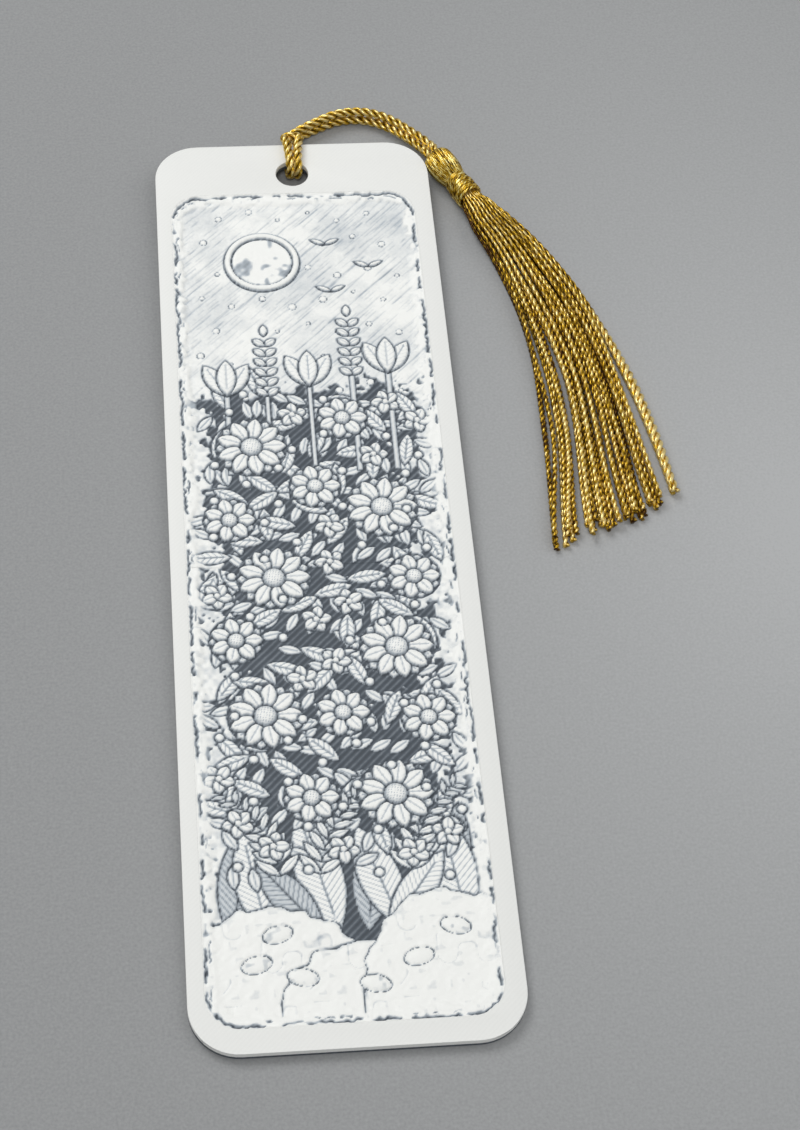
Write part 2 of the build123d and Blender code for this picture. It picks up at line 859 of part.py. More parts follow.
def strand(column, layer):
    """One thread of the skirt, cut off a little shorter or longer than its neighbours."""
    number = column * strand_layers + layer
    length = skirt_length - uneven_cut * ((number * golden_angle / 360) % 1)
    with BuildPart() as thread:
        for distance in thread_stations(length):
            place, radius = strand_place(column, layer, distance)
            with BuildSketch(skirt_plane(distance)):
                with Locations(place):
                    RegularPolygon(radius, strand_sides)
        loft(ruled=True)
    return thread.part


def skirt_group(first_column, last_column, name):
    """A run of columns, joined to its slice of the bound root."""
    threads = [
        strand(column, layer)
        for column in range(first_column, last_column + 1)
        for layer in range(strand_layers)
    ]
    root_pitch = root_diameter / strand_columns
    left = root_pitch * first_column - root_diameter / 2
    right = root_pitch * (last_column + 1) - root_diameter / 2
    with BuildPart() as group:
        with BuildSketch(skirt_plane(0)):
            Circle(root_diameter / 2)
            with Locations(((left + right) / 2, 0)):
                Rectangle(right - left - floor_gap, root_diameter, mode=Mode.INTERSECT)
        extrude(amount=root_thickness)
        add(threads)
    finish(group.part, name)


skirt_group(0, 2, "skirt_left")
skirt_group(3, 6, "skirt_middle")
skirt_group(7, strand_columns - 1, "skirt_right")

# One thicker thread that has sprung loose on the right
with BuildPart() as loose_strand:
    for distance in thread_stations(loose_length):
        share = settled(distance)
        radius = (strand_root + share * (loose_diameter - strand_root)) / 2
        place = (
            drift(distance) + half_width(distance) + radius + share * strand_gap + loose_spring * share,
            share * (loose_diameter / 2 + floor_gap - head_rise),
        )
        with BuildSketch(skirt_plane(distance)):
            with Locations(place):
                RegularPolygon(radius, strand_sides)
    loft(ruled=True)
finish(loose_strand.part, "loose_strand")
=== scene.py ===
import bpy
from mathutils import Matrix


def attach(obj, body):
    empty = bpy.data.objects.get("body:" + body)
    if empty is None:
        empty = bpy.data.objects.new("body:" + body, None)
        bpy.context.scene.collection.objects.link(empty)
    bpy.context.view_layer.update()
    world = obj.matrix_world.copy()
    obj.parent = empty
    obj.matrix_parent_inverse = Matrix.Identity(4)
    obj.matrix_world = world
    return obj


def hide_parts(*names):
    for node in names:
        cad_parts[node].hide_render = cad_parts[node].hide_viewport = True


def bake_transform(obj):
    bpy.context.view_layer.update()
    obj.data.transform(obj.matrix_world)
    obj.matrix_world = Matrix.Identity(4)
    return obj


bl_info = {
    "name": "Relief Bookmark",
    "version": (1, 0, 0),
    "blender": (4, 5, 0),
    "location": "View3D > Sidebar > Bookmark",
    "description": "Dresses a relief-printed bookmark card, its twisted cord and its tassel",
    "category": "Add Mesh",
}

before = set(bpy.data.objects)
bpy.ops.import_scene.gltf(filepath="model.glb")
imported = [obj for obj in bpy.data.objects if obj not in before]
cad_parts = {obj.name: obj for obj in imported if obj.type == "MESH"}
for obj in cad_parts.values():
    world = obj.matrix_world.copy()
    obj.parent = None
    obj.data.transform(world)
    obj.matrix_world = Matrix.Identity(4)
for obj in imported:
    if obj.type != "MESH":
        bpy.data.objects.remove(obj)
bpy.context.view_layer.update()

from math import atan, cos, pi, radians, sin, sqrt

import bpy
import numpy as np
from bpy.props import FloatProperty, FloatVectorProperty, IntProperty, PointerProperty
from bpy.types import NodeSocket, Operator, Panel, PropertyGroup
from mathutils import Matrix, Vector

MM = 0.001

# The card's plane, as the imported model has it: it leans on its lower edge and on the cord under it
CARD_LENGTH = 150.0
CARD_THICKNESS = 1.5
CORD_LIFT = 1.62
CORD_LIFT_PLACE = 145.45
TILT = atan(CORD_LIFT / CORD_LIFT_PLACE)
CARD = (
    Matrix.Translation((0, CARD_THICKNESS / 2 * sin(TILT) * MM, CARD_LENGTH / 2 * sin(TILT) * MM))
    @ Matrix.Rotation(TILT, 4, "X")
)

# The layers and the picture's window, in millimetres on the card
BASE_TOP = 0.6
RELIEF_FOOT = 0.012
RELIEF_TOP = 0.89
WINDOW_CENTER = (-0.25, -3.45)
WINDOW_HALF = (18.6, 68.3)
WINDOW_CORNER = 4.5
WINDOW_FIT = 0.9995
BORDER_WIDTH = 2.0
PICTURE_HALF = (WINDOW_HALF[0] - BORDER_WIDTH, WINDOW_HALF[1] - BORDER_WIDTH)
WINDOW_MARGIN = 0.65
RIM_INSIDE = WINDOW_HALF[0] + abs(WINDOW_CENTER[0]) + WINDOW_MARGIN
RIM_HEAD = WINDOW_HALF[1] + WINDOW_CENTER[1] + WINDOW_MARGIN

# The tassel's headings and places, in millimetres

def over_table(turn):
    """A direction over the table, from its angle to the X axis, and the direction to its left."""
    return np.array((cos(turn), sin(turn), 0.0)), np.array((-sin(turn), cos(turn), 0.0))


HEAD_AXIS, HEAD_SIDE = over_table(radians(-62.9))
SKIRT_AXIS, SKIRT_SIDE = over_table(radians(-70.0))
UP = np.array((0.0, 0.0, 1.0))
LIFT_POINT = np.array((21.62, 74.15, 2.47))
STRAND_SIDE = 0.74 * HEAD_SIDE
HEAD_GAP = 1.6
HEAD_LENGTH = 5.35
NECK_LENGTH = 5.4
HEAD_TOP = LIFT_POINT + HEAD_GAP * HEAD_AXIS
NECK_START = HEAD_TOP + HEAD_LENGTH * HEAD_AXIS
NECK_MOUTH = NECK_START + NECK_LENGTH * HEAD_AXIS

# The cord and the threads, in metres: each ply's radius and its distance from the thread's middle
CORD_PLY_RADIUS = 0.00036
CORD_PLY_SPREAD = 0.00037
SKIRT_PLY_RADIUS = 0.00027
SKIRT_PLY_SPREAD = 0.00015
LOOSE_PLY_RADIUS = 0.00044
LOOSE_PLY_SPREAD = 0.00046
LOOSE_TURN = 0.0044
HEAD_THREAD_RADIUS = 0.000165
WRAP_THREAD_RADIUS = 0.00024
NECK_CORE_RADIUS = 0.0015
YARN_END = 0.0022
TABLE_TOUCH = 0.00002

# How much painted shade darkens a ply towards its thread's middle, in the grooves between plies, and how far
# one yarn's pattern is from the next
CORD_GROOVE_SHADE = 0.2
SKIRT_GROOVE_SHADE = 0.12
YARN_SHIFT = 17.3

# Ratios for turns and places that never line up
GOLDEN_TURN = pi * (3 - sqrt(5))
GOLDEN_SHARE = 0.618
PLASTIC_NUMBER = 1.32471795724

# The camera, fitted to the card's edges
CAMERA_LIFT = radians(55.04)
CAMERA_TURN = radians(-8.78)
CAMERA_ROLL = radians(4.79)
LOOK_AT = Vector((10.77, -3.08, 0)) * MM
FRAME_HEIGHT = 1130.0
SENSOR_HEIGHT = 24.0

RELIEF_NODES = (
    "border_band", "daisy_petals", "daisy_hearts", "small_blossoms", "cup_flowers", "flower_spikes", "stems",
    "bank", "pebbles", "fern_fronds", "leaves", "round_buds", "moon", "birds", "sky_lines",
)


class CardLook(PropertyGroup):
    """Sizes and colours of the printed card."""

    relief_pitch: FloatProperty(
        name="Relief pitch", description="Distance between the points of the relief",
        default=0.000172, unit="LENGTH", precision=6,
    )
    edge_round: FloatProperty(
        name="Edge round", description="Rounding of the printed layers' edges",
        default=0.00014, unit="LENGTH", precision=6,
    )
    outline: FloatProperty(
        name="Outline", description="Width of the dark line round each motif",
        default=0.0003, unit="LENGTH", precision=6,
    )
    white: FloatVectorProperty(
        name="White", description="Colour of the thick white print",
        default=(0.885, 0.89, 0.86), subtype="COLOR", size=3,
    )
    film: FloatVectorProperty(
        name="Film", description="Colour of thin white print over the dark sheet",
        default=(0.48, 0.53, 0.575), subtype="COLOR", size=3,
    )
    slate: FloatVectorProperty(
        name="Slate", description="Colour of the dark sheet",
        default=(0.082, 0.1, 0.122), subtype="COLOR", size=3,
    )


class ThreadLook(PropertyGroup):
    """Sizes and colours of the cord and the tassel's threads."""

    cord_plies: IntProperty(
        name="Cord plies", description="Yarns twisted into the cord", default=3, min=2, max=5,
    )
    cord_turn: FloatProperty(
        name="Cord turn", description="Length of one full twist of the cord",
        default=0.0042, unit="LENGTH", precision=5,
    )
    skirt_columns: IntProperty(
        name="Skirt columns", description="Threads side by side in the top layer of the skirt",
        default=9, min=6, max=24,
    )
    skirt_turn: FloatProperty(
        name="Skirt turn", description="Length of one full twist of a skirt thread",
        default=0.0023, unit="LENGTH", precision=5,
    )
    head_threads: IntProperty(
        name="Head threads", description="Threads folded over the head", default=54, min=20, max=80,
    )
    wrap_turns: IntProperty(
        name="Wrap turns", description="Turns of thread round the neck", default=10, min=5, max=16,
    )
    gold: FloatVectorProperty(
        name="Gold", description="Colour of the thread",
        default=(0.62, 0.37, 0.014), subtype="COLOR", size=3,
    )
    # painted shade: this dark gold stands in for the shade between the fibres
    gold_painted_shade: FloatVectorProperty(
        name="Dark gold", description="Colour between the fibres",
        default=(0.058, 0.021, 0.0004), subtype="COLOR", size=3,
    )
    # painted highlight: this pale gold stands in for the light on the fibres that catch it
    gold_painted_highlight: FloatVectorProperty(
        name="Pale gold", description="Colour of the fibres that catch the light",
        default=(1.0, 0.8, 0.34), subtype="COLOR", size=3,
    )


class StageLook(PropertyGroup):
    """Table, light and camera."""

    table: FloatVectorProperty(
        name="Table", description="Colour of the table top",
        default=(0.318, 0.323, 0.325), subtype="COLOR", size=3,
    )
    focal: FloatProperty(
        name="Focal length", description="Focal length in pixels of the 1130 px high frame", default=2453.0,
    )
    distance: FloatProperty(
        name="Distance", description="From the camera to the point it looks at",
        default=0.3408, unit="LENGTH", precision=4,
    )


# Helpers

def nothing():
    """Leave edit mode and deselect everything."""
    if bpy.context.object and bpy.context.object.mode != "OBJECT":
        bpy.ops.object.mode_set(mode="OBJECT")
    bpy.ops.object.select_all(action="DESELECT")


def alone(obj):
    """Select one object and nothing else, and make it active."""
    nothing()
    obj.select_set(True)
    bpy.context.view_layer.objects.active = obj
    return obj


def linked(name, data):
    """A new object in the scene."""
    obj = bpy.data.objects.new(name, data)
    bpy.context.scene.collection.objects.link(obj)
    return obj


def settle(obj, name, material, slot, *nodes):
    """Name a finished piece, give it its material, and let it replace CAD nodes. The slot is not used."""
    obj.name = name
    obj.data.name = name
    obj.data.materials.clear()
    obj.data.materials.append(material)
    if nodes:
        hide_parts(*nodes)
    return obj


def smooth_line(points, resolution=12):
    """Points in metres along the NURBS line that a row of control points in millimetres gives."""
    curve = bpy.data.curves.new("line", "CURVE")
    curve.dimensions = "3D"
    spline = curve.splines.new("NURBS")
    spline.points.add(len(points) - 1)
    for place, point in zip(spline.points, points):
        place.co = (*[float(value) * MM for value in point], 1.0)
    spline.order_u = 3
    spline.use_endpoint_u = True
    spline.resolution_u = resolution
    holder = linked("line", curve)
    bpy.context.view_layer.update()
    mesh = bpy.data.meshes.new_from_object(holder.evaluated_get(bpy.context.evaluated_depsgraph_get()))
    places = np.array([vertex.co[:] for vertex in mesh.vertices], float)
    bpy.data.objects.remove(holder)
    bpy.data.curves.remove(curve)
    bpy.data.meshes.remove(mesh)
    keep = np.ones(len(places), bool)
    keep[1:] = np.linalg.norm(np.diff(places, axis=0), axis=1) > 1e-7
    return places[keep]


def run_length(points):
    """Length along a line up to each of its points."""
    steps = np.linalg.norm(np.diff(points, axis=0), axis=1)
    return np.concatenate(([0.0], np.cumsum(steps)))


def side_frames(points):
    """Two directions square to a line at each of its points, turned as little as possible along it."""
    heading = np.gradient(points, axis=0)
    heading /= np.linalg.norm(heading, axis=1)[:, None]
    first = np.cross(heading[0], UP if abs(heading[0][2]) < 0.9 else HEAD_SIDE)
    first /= np.linalg.norm(first)
    firsts = [first]
    for direction in heading[1:]:
        first = firsts[-1] - direction * np.dot(firsts[-1], direction)
        firsts.append(first / np.linalg.norm(first))
    firsts = np.array(firsts)
    return firsts, np.cross(heading, firsts)


class Yarns:
    """Gathers twisted yarns into one mesh, with a map along and round each yarn and a tone for each."""

    def __init__(self):
        self.vertices = []
        self.faces = []
        self.maps = []
        self.tones = []
        self.count = 0

    def tube(self, points, frames, radius, sides, tone, skew=0.0):
        """One closed yarn; its radius and tone may change along it, and the tone round it too."""
        rows = len(points)
        firsts, seconds = frames
        radius = np.broadcast_to(radius, (rows,))
        angle = 2 * pi * np.arange(sides) / sides
        ring = firsts[:, None] * np.cos(angle)[:, None] + seconds[:, None] * np.sin(angle)[:, None]
        self.vertices.append((points[:, None] + ring * radius[:, None, None]).reshape(-1, 3))
        row, side = np.meshgrid(np.arange(rows - 1), np.arange(sides), indexing="ij")
        along = run_length(points) / MM + YARN_SHIFT * len(self.tones)
        quads, quad_maps = [], []
        for up, over in ((0, 0), (0, 1), (1, 1), (1, 0)):
            quads.append(self.count + (row + up) * sides + (side + over) % sides)
            quad_maps.append(np.stack((along[row + up], (side + over) / sides + skew * along[row + up]), -1))
        self.faces.extend(np.stack(quads, -1).reshape(-1, 4).tolist())
        self.maps.append(np.stack(quad_maps, 2).reshape(-1, 2))
        last = self.count + (rows - 1) * sides
        self.faces.append(list(range(self.count, self.count + sides))[::-1])
        self.faces.append(list(range(last, last + sides)))
        for end in (along[0], along[-1]):
            self.maps.append(np.tile((end, 0.5), (sides, 1)))
        self.tones.append(np.broadcast_to(tone, (rows, sides)).ravel())
        self.count += rows * sides

    def single(self, points, radius, sides, tone, skew=0.0):
        """One yarn along a line."""
        self.tube(points, side_frames(points), radius, sides, tone, skew)

    def twist(
        self, points, plies, radius, spread, turn, sides, tone, phase=0.0, flare=0.0, size=1.0, groove_shade=0.0,
    ):
        """Yarns wound round a line; they part at its end by the flare, and each ply is painted darker towards
        the line, as shade in the grooves.
        """
        firsts, seconds = side_frames(points)
        run = run_length(points)
        tail = np.clip((run - run[-1] + YARN_END) / YARN_END, 0, 1) ** 2 * flare
        for ply in range(plies):
            angle = phase + 2 * pi * (ply / plies + run / turn)
            offset = firsts * np.cos(angle)[:, None] + seconds * np.sin(angle)[:, None]
            line = points + offset * (spread * size * (1 + tail))[:, None]
            # painted shade: each ply is darker on its side towards the thread's middle, where the grooves
            # between plies are
            outward = np.cos(2 * pi * np.arange(sides) / sides - angle[:, None])
            shade = np.reshape(tone, (-1, 1)) + groove_shade * (outward - 0.5)
            self.tube(line, (firsts, seconds), radius * size * (1 + 0.25 * tail), sides, shade, skew=0.22)

    def mesh(self, name):
        """The gathered yarns as one object, pressed flat where they would dip under the table."""
        places = np.concatenate(self.vertices)
        places[:, 2] = np.maximum(places[:, 2], TABLE_TOUCH)
        data = bpy.data.meshes.new(name)
        data.from_pydata(places.tolist(), [], self.faces)
        layer = data.uv_layers.new(name="yarn")
        layer.data.foreach_set("uv", np.concatenate(self.maps).astype(np.float32).ravel())
        tone = data.attributes.new("yarn_tone", "FLOAT", "POINT")
        tone.data.foreach_set("value", np.concatenate(self.tones).astype(np.float32))
        obj = alone(linked(name, data))
        bpy.ops.object.shade_smooth()
        return obj


# Materials

class Wiring:
    """Short ways to add and join the nodes of one material or node group."""

    def __init__(self, tree):
        self.tree = tree

    def feed(self, node, values):
        """Set a node's inputs, each to a value or to another node's output."""
        for label, value in values.items():
            if isinstance(value, NodeSocket):
                self.tree.links.new(value, node.inputs[label])
            else:
                node.inputs[label].default_value = value

    def add(self, kind, values):
        """A new node with its inputs set; returns its outputs."""
        node = self.tree.nodes.new(kind)
        self.feed(node, values)
        return node.outputs

    def place(self):
        """Places on the piece itself."""
        return self.add("ShaderNodeTexCoord", {})["Object"]

    def attribute(self, name):
        """A value that the mesh holds at each point."""
        outputs = self.add("ShaderNodeAttribute", {})
        outputs["Fac"].node.attribute_name = name
        return outputs["Fac"]

    def math(self, operation, *operands):
        """A math node on values or outputs."""
        outputs = self.add("ShaderNodeMath", dict(enumerate(operands)))
        outputs[0].node.operation = operation
        return outputs[0]

    def group(self, tree, values):
        """A node group with its inputs set; returns its outputs."""
        node = self.tree.nodes.new("ShaderNodeGroup")
        node.node_tree = tree
        self.feed(node, values)
        return node.outputs

    def ramp(self, factor, stops):
        """A ramp of colours over a factor."""
        outputs = self.add("ShaderNodeValToRGB", {"Fac": factor})
        elements = outputs["Color"].node.color_ramp.elements
        while len(elements) < len(stops):
            elements.new(0.5)
        for element, (position, color) in zip(elements, stops):
            element.position = position
            element.color = (*color, 1.0)
        return outputs["Color"]

    def bump(self, height, strength, distance):
        """A normal from a height."""
        values = {"Height": height, "Strength": strength, "Distance": distance}
        return self.add("ShaderNodeBump", values)["Normal"]


def fresh_group(name, vectors, values, results):
    """A new shader node group with named vector and value inputs; returns it, its inputs and its end."""
    group = bpy.data.node_groups.new(name, "ShaderNodeTree")
    for label in vectors:
        group.interface.new_socket(name=label, in_out="INPUT", socket_type="NodeSocketVector")
    for label in values:
        group.interface.new_socket(name=label, in_out="INPUT", socket_type="NodeSocketFloat")
    for label in results:
        group.interface.new_socket(name=label, in_out="OUTPUT", socket_type="NodeSocketFloat")
    return group, group.nodes.new("NodeGroupInput").outputs, group.nodes.new("NodeGroupOutput")


def print_lines_group():
    """Slanted lines of a printing nozzle, with grain: two masks and a height."""
    group = bpy.data.node_groups.get("Print lines")
    if group:
        return group
    group, source, target = fresh_group(
        "Print lines", ("Vector",), ("Line scale", "Grain scale"), ("Lines", "Grain", "Height"),
    )
    wiring = Wiring(group)
    turned = wiring.add("ShaderNodeMapping", {"Vector": source["Vector"], "Rotation": (0, 0, radians(45))})
    lines = wiring.add("ShaderNodeTexWave", {
        "Vector": turned["Vector"], "Scale": source["Line scale"], "Distortion": 0.6, "Detail": 1.0,
    })["Fac"]
    grain = wiring.add("ShaderNodeTexNoise", {
        "Vector": source["Vector"], "Scale": source["Grain scale"], "Detail": 4.0, "Roughness": 0.65,
    })["Fac"]
    height = wiring.math("MULTIPLY_ADD", lines, 0.5, grain)
    wiring.feed(target, {"Lines": lines, "Grain": grain, "Height": height})
    return group


def fibre_group():
    """Fine fibres along a yarn, from its map, and patches of tone: two masks."""
    group = bpy.data.node_groups.get("Fibres")
    if group:
        return group
    group, source, target = fresh_group("Fibres", ("Map", "Place"), ("Fibres round",), ("Fibre", "Patch"))
    wiring = Wiring(group)
    split = wiring.add("ShaderNodeSeparateXYZ", {"Vector": source["Map"]})
    stretched = wiring.add("ShaderNodeCombineXYZ", {
        "X": wiring.math("MULTIPLY", split["X"], 0.35),
        "Y": wiring.math("MULTIPLY", split["Y"], source["Fibres round"]),
    })
    streak = wiring.add("ShaderNodeTexNoise", {
        "Vector": stretched["Vector"], "Scale": 1.0, "Detail": 3.0, "Roughness": 0.6,
    })
    patch = wiring.add("ShaderNodeTexNoise", {"Vector": source["Place"], "Scale": 260.0, "Detail": 2.0})
    wiring.feed(target, {"Fibre": streak["Fac"], "Patch": patch["Fac"]})
    return group


def blank_material(name):
    """A material with one Principled shader, the wiring of its nodes and the shader."""
    material = bpy.data.materials.new(name)
    material.use_nodes = True
    return material, Wiring(material.node_tree), material.node_tree.nodes["Principled BSDF"]


def shaded(color, share):
    """A colour made darker or lighter by a share."""
    return tuple(min(1.0, value * share) for value in color)


def printed_material(name, color, line_scale, grain_scale, contrast, bump):
    """Printed plastic of one colour, with nozzle lines and grain."""
    material, wiring, shader = blank_material(name)
    lines = wiring.group(print_lines_group(), {
        "Vector": wiring.place(), "Line scale": line_scale, "Grain scale": grain_scale,
    })
    grain = wiring.math("MULTIPLY", lines["Grain"], 0.65)
    mixed = wiring.math("MULTIPLY_ADD", lines["Lines"], 0.35, grain)
    stops = ((0.25, shaded(color, 1 - contrast)), (0.8, shaded(color, 1 + 0.5 * contrast)))
    wiring.feed(shader, {
        "Base Color": wiring.ramp(mixed, stops),
        "Roughness": wiring.math("MULTIPLY_ADD", lines["Grain"], 0.25, 0.38),
        "Specular IOR Level": 0.4,
        "Normal": wiring.bump(lines["Height"], bump, 0.00004),
    })
    return material


def relief_material(look):
    """Printed relief: the tone of each point runs from the dark sheet through thin film to white."""
    material, wiring, shader = blank_material("relief_print")
    tone = wiring.attribute("print_tone")
    lines = wiring.group(print_lines_group(), {
        "Vector": wiring.place(), "Line scale": 400.0, "Grain scale": 2200.0,
    })
    dark = wiring.math("POWER", wiring.math("SUBTRACT", 1.0, tone), 2.0)
    swing = wiring.math("MULTIPLY", wiring.math("SUBTRACT", lines["Lines"], 0.5), 0.28)
    lined = wiring.math("MULTIPLY_ADD", swing, dark, tone)
    grained = wiring.math("MULTIPLY_ADD", wiring.math("SUBTRACT", lines["Grain"], 0.5), 0.16, lined)
    veiled = tuple((slate + film) / 2.2 for slate, film in zip(look.slate, look.film))
    stops = (
        (0.0, shaded(look.slate, 0.7)), (0.14, look.slate), (0.36, veiled), (0.6, look.film),
        (0.9, shaded(look.white, 1.1)),
    )
    wiring.feed(shader, {
        "Base Color": wiring.ramp(grained, stops),
        "Roughness": 0.48,
        "Specular IOR Level": 0.4,
        "Normal": wiring.bump(lines["Height"], 0.5, 0.00003),
    })
    return material


def thread_material(name, look, fibres, painted_light_lift=1.0, smooth=1.0):
    """Satin thread: fibres along the yarn between painted shade and painted highlight on the gold, each yarn
    with its own tone.
    """
    material, wiring, shader = blank_material(name)
    yarn = wiring.add("ShaderNodeUVMap", {})["UV"]
    yarn.node.uv_map = "yarn"
    fibre = wiring.group(fibre_group(), {"Map": yarn, "Place": wiring.place(), "Fibres round": fibres})
    mixed = wiring.math("MULTIPLY_ADD", fibre["Patch"], 0.1, fibre["Fibre"])
    toned = wiring.math("ADD", mixed, wiring.attribute("yarn_tone"))
    # a lift above 1 paints light: it makes a lighter copy of the same gold
    middle = 0.53
    # painted shade and highlight: the ramp goes from dark gold between the fibres and in the grooves, through
    # the gold, to pale gold where fibres catch the light
    stops = (
        (middle - 0.125 * smooth, look.gold_painted_shade), (middle, shaded(look.gold, painted_light_lift)),
        (middle + 0.1 * smooth, shaded(look.gold_painted_highlight, painted_light_lift)),
    )
    wiring.feed(shader, {
        "Base Color": wiring.ramp(toned, stops),
        "Roughness": 0.3,
        "Metallic": 0.7,
        "Specular IOR Level": 0.35,
        "Sheen Weight": 0.04,
        "Sheen Roughness": 0.4,
        "Sheen Tint": (1.0, 0.85, 0.6, 1.0),
        "Normal": wiring.bump(fibre["Fibre"], 0.7 / smooth, 0.00006),
    })
    return material


def table_material(look):
    """A matt grey table top with fine grain, and a painted pool of light that makes it paler round the pool's
    middle.
    """
    material, wiring, shader = blank_material("table_top")
    place = wiring.place()
    grain = wiring.add("ShaderNodeTexNoise", {"Vector": place, "Scale": 2600.0, "Detail": 3.0})["Fac"]
    pool = wiring.add("ShaderNodeMapping", {
        "Vector": place, "Location": (0.07, 0.0, 0.0), "Scale": (0.14, 0.2, 0.14),
    })["Vector"]
    pool.node.vector_type = "TEXTURE"
    # painted light: a pale pool on the table top, brightest at its middle, mixed with the grain
    painted_light_pool = wiring.add("ShaderNodeTexGradient", {"Vector": pool})["Fac"]
    painted_light_pool.node.gradient_type = "QUADRATIC_SPHERE"
    tone = wiring.math("MULTIPLY_ADD", painted_light_pool, 0.55, wiring.math("MULTIPLY", grain, 0.45))
    stops = ((0.1, shaded(look.table, 0.88)), (0.75, shaded(look.table, 1.48)))
    wiring.feed(shader, {
        "Base Color": wiring.ramp(tone, stops),
        "Roughness": 0.62,
        "Specular IOR Level": 0.25,
        "Normal": wiring.bump(grain, 0.15, 0.00003),
    })
    return material


# The relief picture

def eased(share):
    """A share from 0 to 1 with a soft start and end."""
    return share * share * (3 - 2 * share)


def step_up(value, low, high):
    """A smooth step from 0 at low to 1 at high."""
    return eased(np.clip((value - low) / (high - low), 0, 1))


def mottle(across, along, size, seed):
    """Smooth values from 0 to 1 over places in millimetres, with patches of about one size."""
    cells = 97
    table = np.random.default_rng(seed).random((cells, cells))
    column, row = across / size + 500, along / size + 500
    left, low = np.floor(column).astype(int), np.floor(row).astype(int)
    right_share, high_share = eased(column - left), eased(row - low)

    def pick(to_right, to_top):
        return table[(left + to_right) % cells, (low + to_top) % cells]

    lower = pick(0, 0) * (1 - right_share) + pick(1, 0) * right_share
    upper = pick(0, 1) * (1 - right_share) + pick(1, 1) * right_share
    return lower * (1 - high_share) + upper * high_share


def spot(across, along):
    """A place in the picture, given as shares of its half width and half length."""
    return WINDOW_CENTER[0] + across * PICTURE_HALF[0], WINDOW_CENTER[1] + along * PICTURE_HALF[1]


def scattered(count, low, high):
    """Evenly scattered places between two heights of the picture."""
    for index in range(1, count + 1):
        across = (index / PLASTIC_NUMBER) % 1
        along = (index / PLASTIC_NUMBER**2) % 1
        yield spot(0.95 * (2 * across - 1), low + (high - low) * along)


def past_corners(x, y):
    """How far places from the window's middle lie past the middles of its round corners, across and along."""
    return np.abs(x) - (WINDOW_HALF[0] - WINDOW_CORNER), np.abs(y) - (WINDOW_HALF[1] - WINDOW_CORNER)


def far_from(place, others, distance):
    """Whether a place keeps a distance from all the others."""
    return all((place[0] - x) ** 2 + (place[1] - y) ** 2 > distance**2 for x, y in others)


# Heights over the base sheet in millimetres, and tones from 0, dark, to 1, white
SHEET_HIGH = 0.03
SHEET_TONE = 0.06
FORM_FOOT = 0.06
WHITE_TONE = 0.97


class ReliefField:
    """The relief's points in millimetres on the card, each with a height over the base sheet and a tone."""

    def __init__(self, across, along, outline):
        self.across = across
        self.along = along
        self.outline = outline
        self.high = np.zeros(len(across))
        self.tone = np.zeros(len(across))

    def local(self, place, turn, reach):
        """The points near a place, and where they are from it along and across a turned direction."""
        x, y = self.across - place[0], self.along - place[1]
        near = np.nonzero((np.abs(x) < reach) & (np.abs(y) < reach))[0]
        x, y = x[near], y[near]
        return near, x * cos(turn) + y * sin(turn), y * cos(turn) - x * sin(turn)

    def press(self, near, edge, height, tone, shoulder, outline=None, rim_tone=0.45):
        """Raise one form where edge is negative, with round shoulders and a dark line round it."""
        gap = self.outline if outline is None else outline
        around = (edge > 0) & (edge < gap)
        rows = near[around]
        keep = (edge[around] / gap) ** 2
        self.tone[rows] = SHEET_TONE + (self.tone[rows] - SHEET_TONE) * keep
        self.high[rows] = SHEET_HIGH + (self.high[rows] - SHEET_HIGH) * keep
        inside = edge <= 0
        rows = near[inside]
        share = np.clip(-edge[inside] / shoulder, 0, 1)
        crown = np.sqrt(1 - (1 - share) ** 2)
        height = np.broadcast_to(height, edge.shape)[inside]
        tone = np.broadcast_to(tone, edge.shape)[inside]
        self.high[rows] = FORM_FOOT + (height - FORM_FOOT) * (0.25 + 0.75 * crown)
        self.tone[rows] = rim_tone + (tone - rim_tone) * crown

    def lens(self, place, turn, length, width, height, tone, shoulder=0.4, crease=0.0, veins=0.0):
        """A leaf or petal from its foot along a direction, with a crease and side veins."""
        near, x, y = self.local(place, turn, length + 1.0)
        radius = (length * length / 4 + width * width / 4) / width
        drop = radius - width / 2
        edge = np.maximum(np.hypot(x - length / 2, y + drop), np.hypot(x - length / 2, y - drop)) - radius
        drawn = step_up(x, 0.05 * length, 0.2 * length) * (x < 0.86 * length)
        marks = crease * np.exp(-(y / 0.13) ** 2) * drawn
        if veins:
            slant = np.cos(2 * pi * (x - 0.9 * np.abs(y)) / 0.85)
            marks = marks + veins * step_up(slant, 0.35, 0.95) * (np.abs(y) > 0.1)
        self.press(near, edge, height * (1 - 0.4 * marks), np.clip(tone - marks, 0.08, 1), shoulder)

    def dome(self, place, radius, height, tone, shoulder, outline=None, dots=0.0):
        """A round form, with a grain of dots where asked."""
        near, x, y = self.local(place, 0.6, radius + 1.0)
        edge = np.hypot(x, y) - radius
        marks = dots * step_up(-np.cos(2 * pi * x / 0.55) * np.cos(2 * pi * y / 0.55), 0.0, 0.9)
        self.press(near, edge, height * (1 - 0.25 * marks), np.clip(tone - marks, 0.1, 1), shoulder, outline)

    def oval(self, place, turn, length, width, height, tone, shoulder):
        """A stone: an oval with a worn, mottled top."""
        near, x, y = self.local(place, turn, length / 2 + 1.0)
        edge = (np.hypot(2 * x / length, 2 * y / width) - 1) * width / 2
        worn = mottle(x + place[0], y + place[1], 0.7, 5)
        tone = np.clip(tone - 0.3 * step_up(worn, 0.55, 0.9), 0, 1)
        self.press(near, edge, height, tone, shoulder, outline=0.12, rim_tone=0.8)

    def stroke(self, start, end, width, height, tone):
        """A straight stalk between two places."""
        length = sqrt((end[0] - start[0]) ** 2 + (end[1] - start[1]) ** 2)
        turn = np.arctan2(end[1] - start[1], end[0] - start[0])
        middle = ((start[0] + end[0]) / 2, (start[1] + end[1]) / 2)
        near, x, y = self.local(middle, turn, length / 2 + 1.0)
        edge = np.maximum(np.abs(y) - width / 2, np.abs(x) - length / 2)
        self.press(near, edge, height, tone, width / 2, rim_tone=0.5)


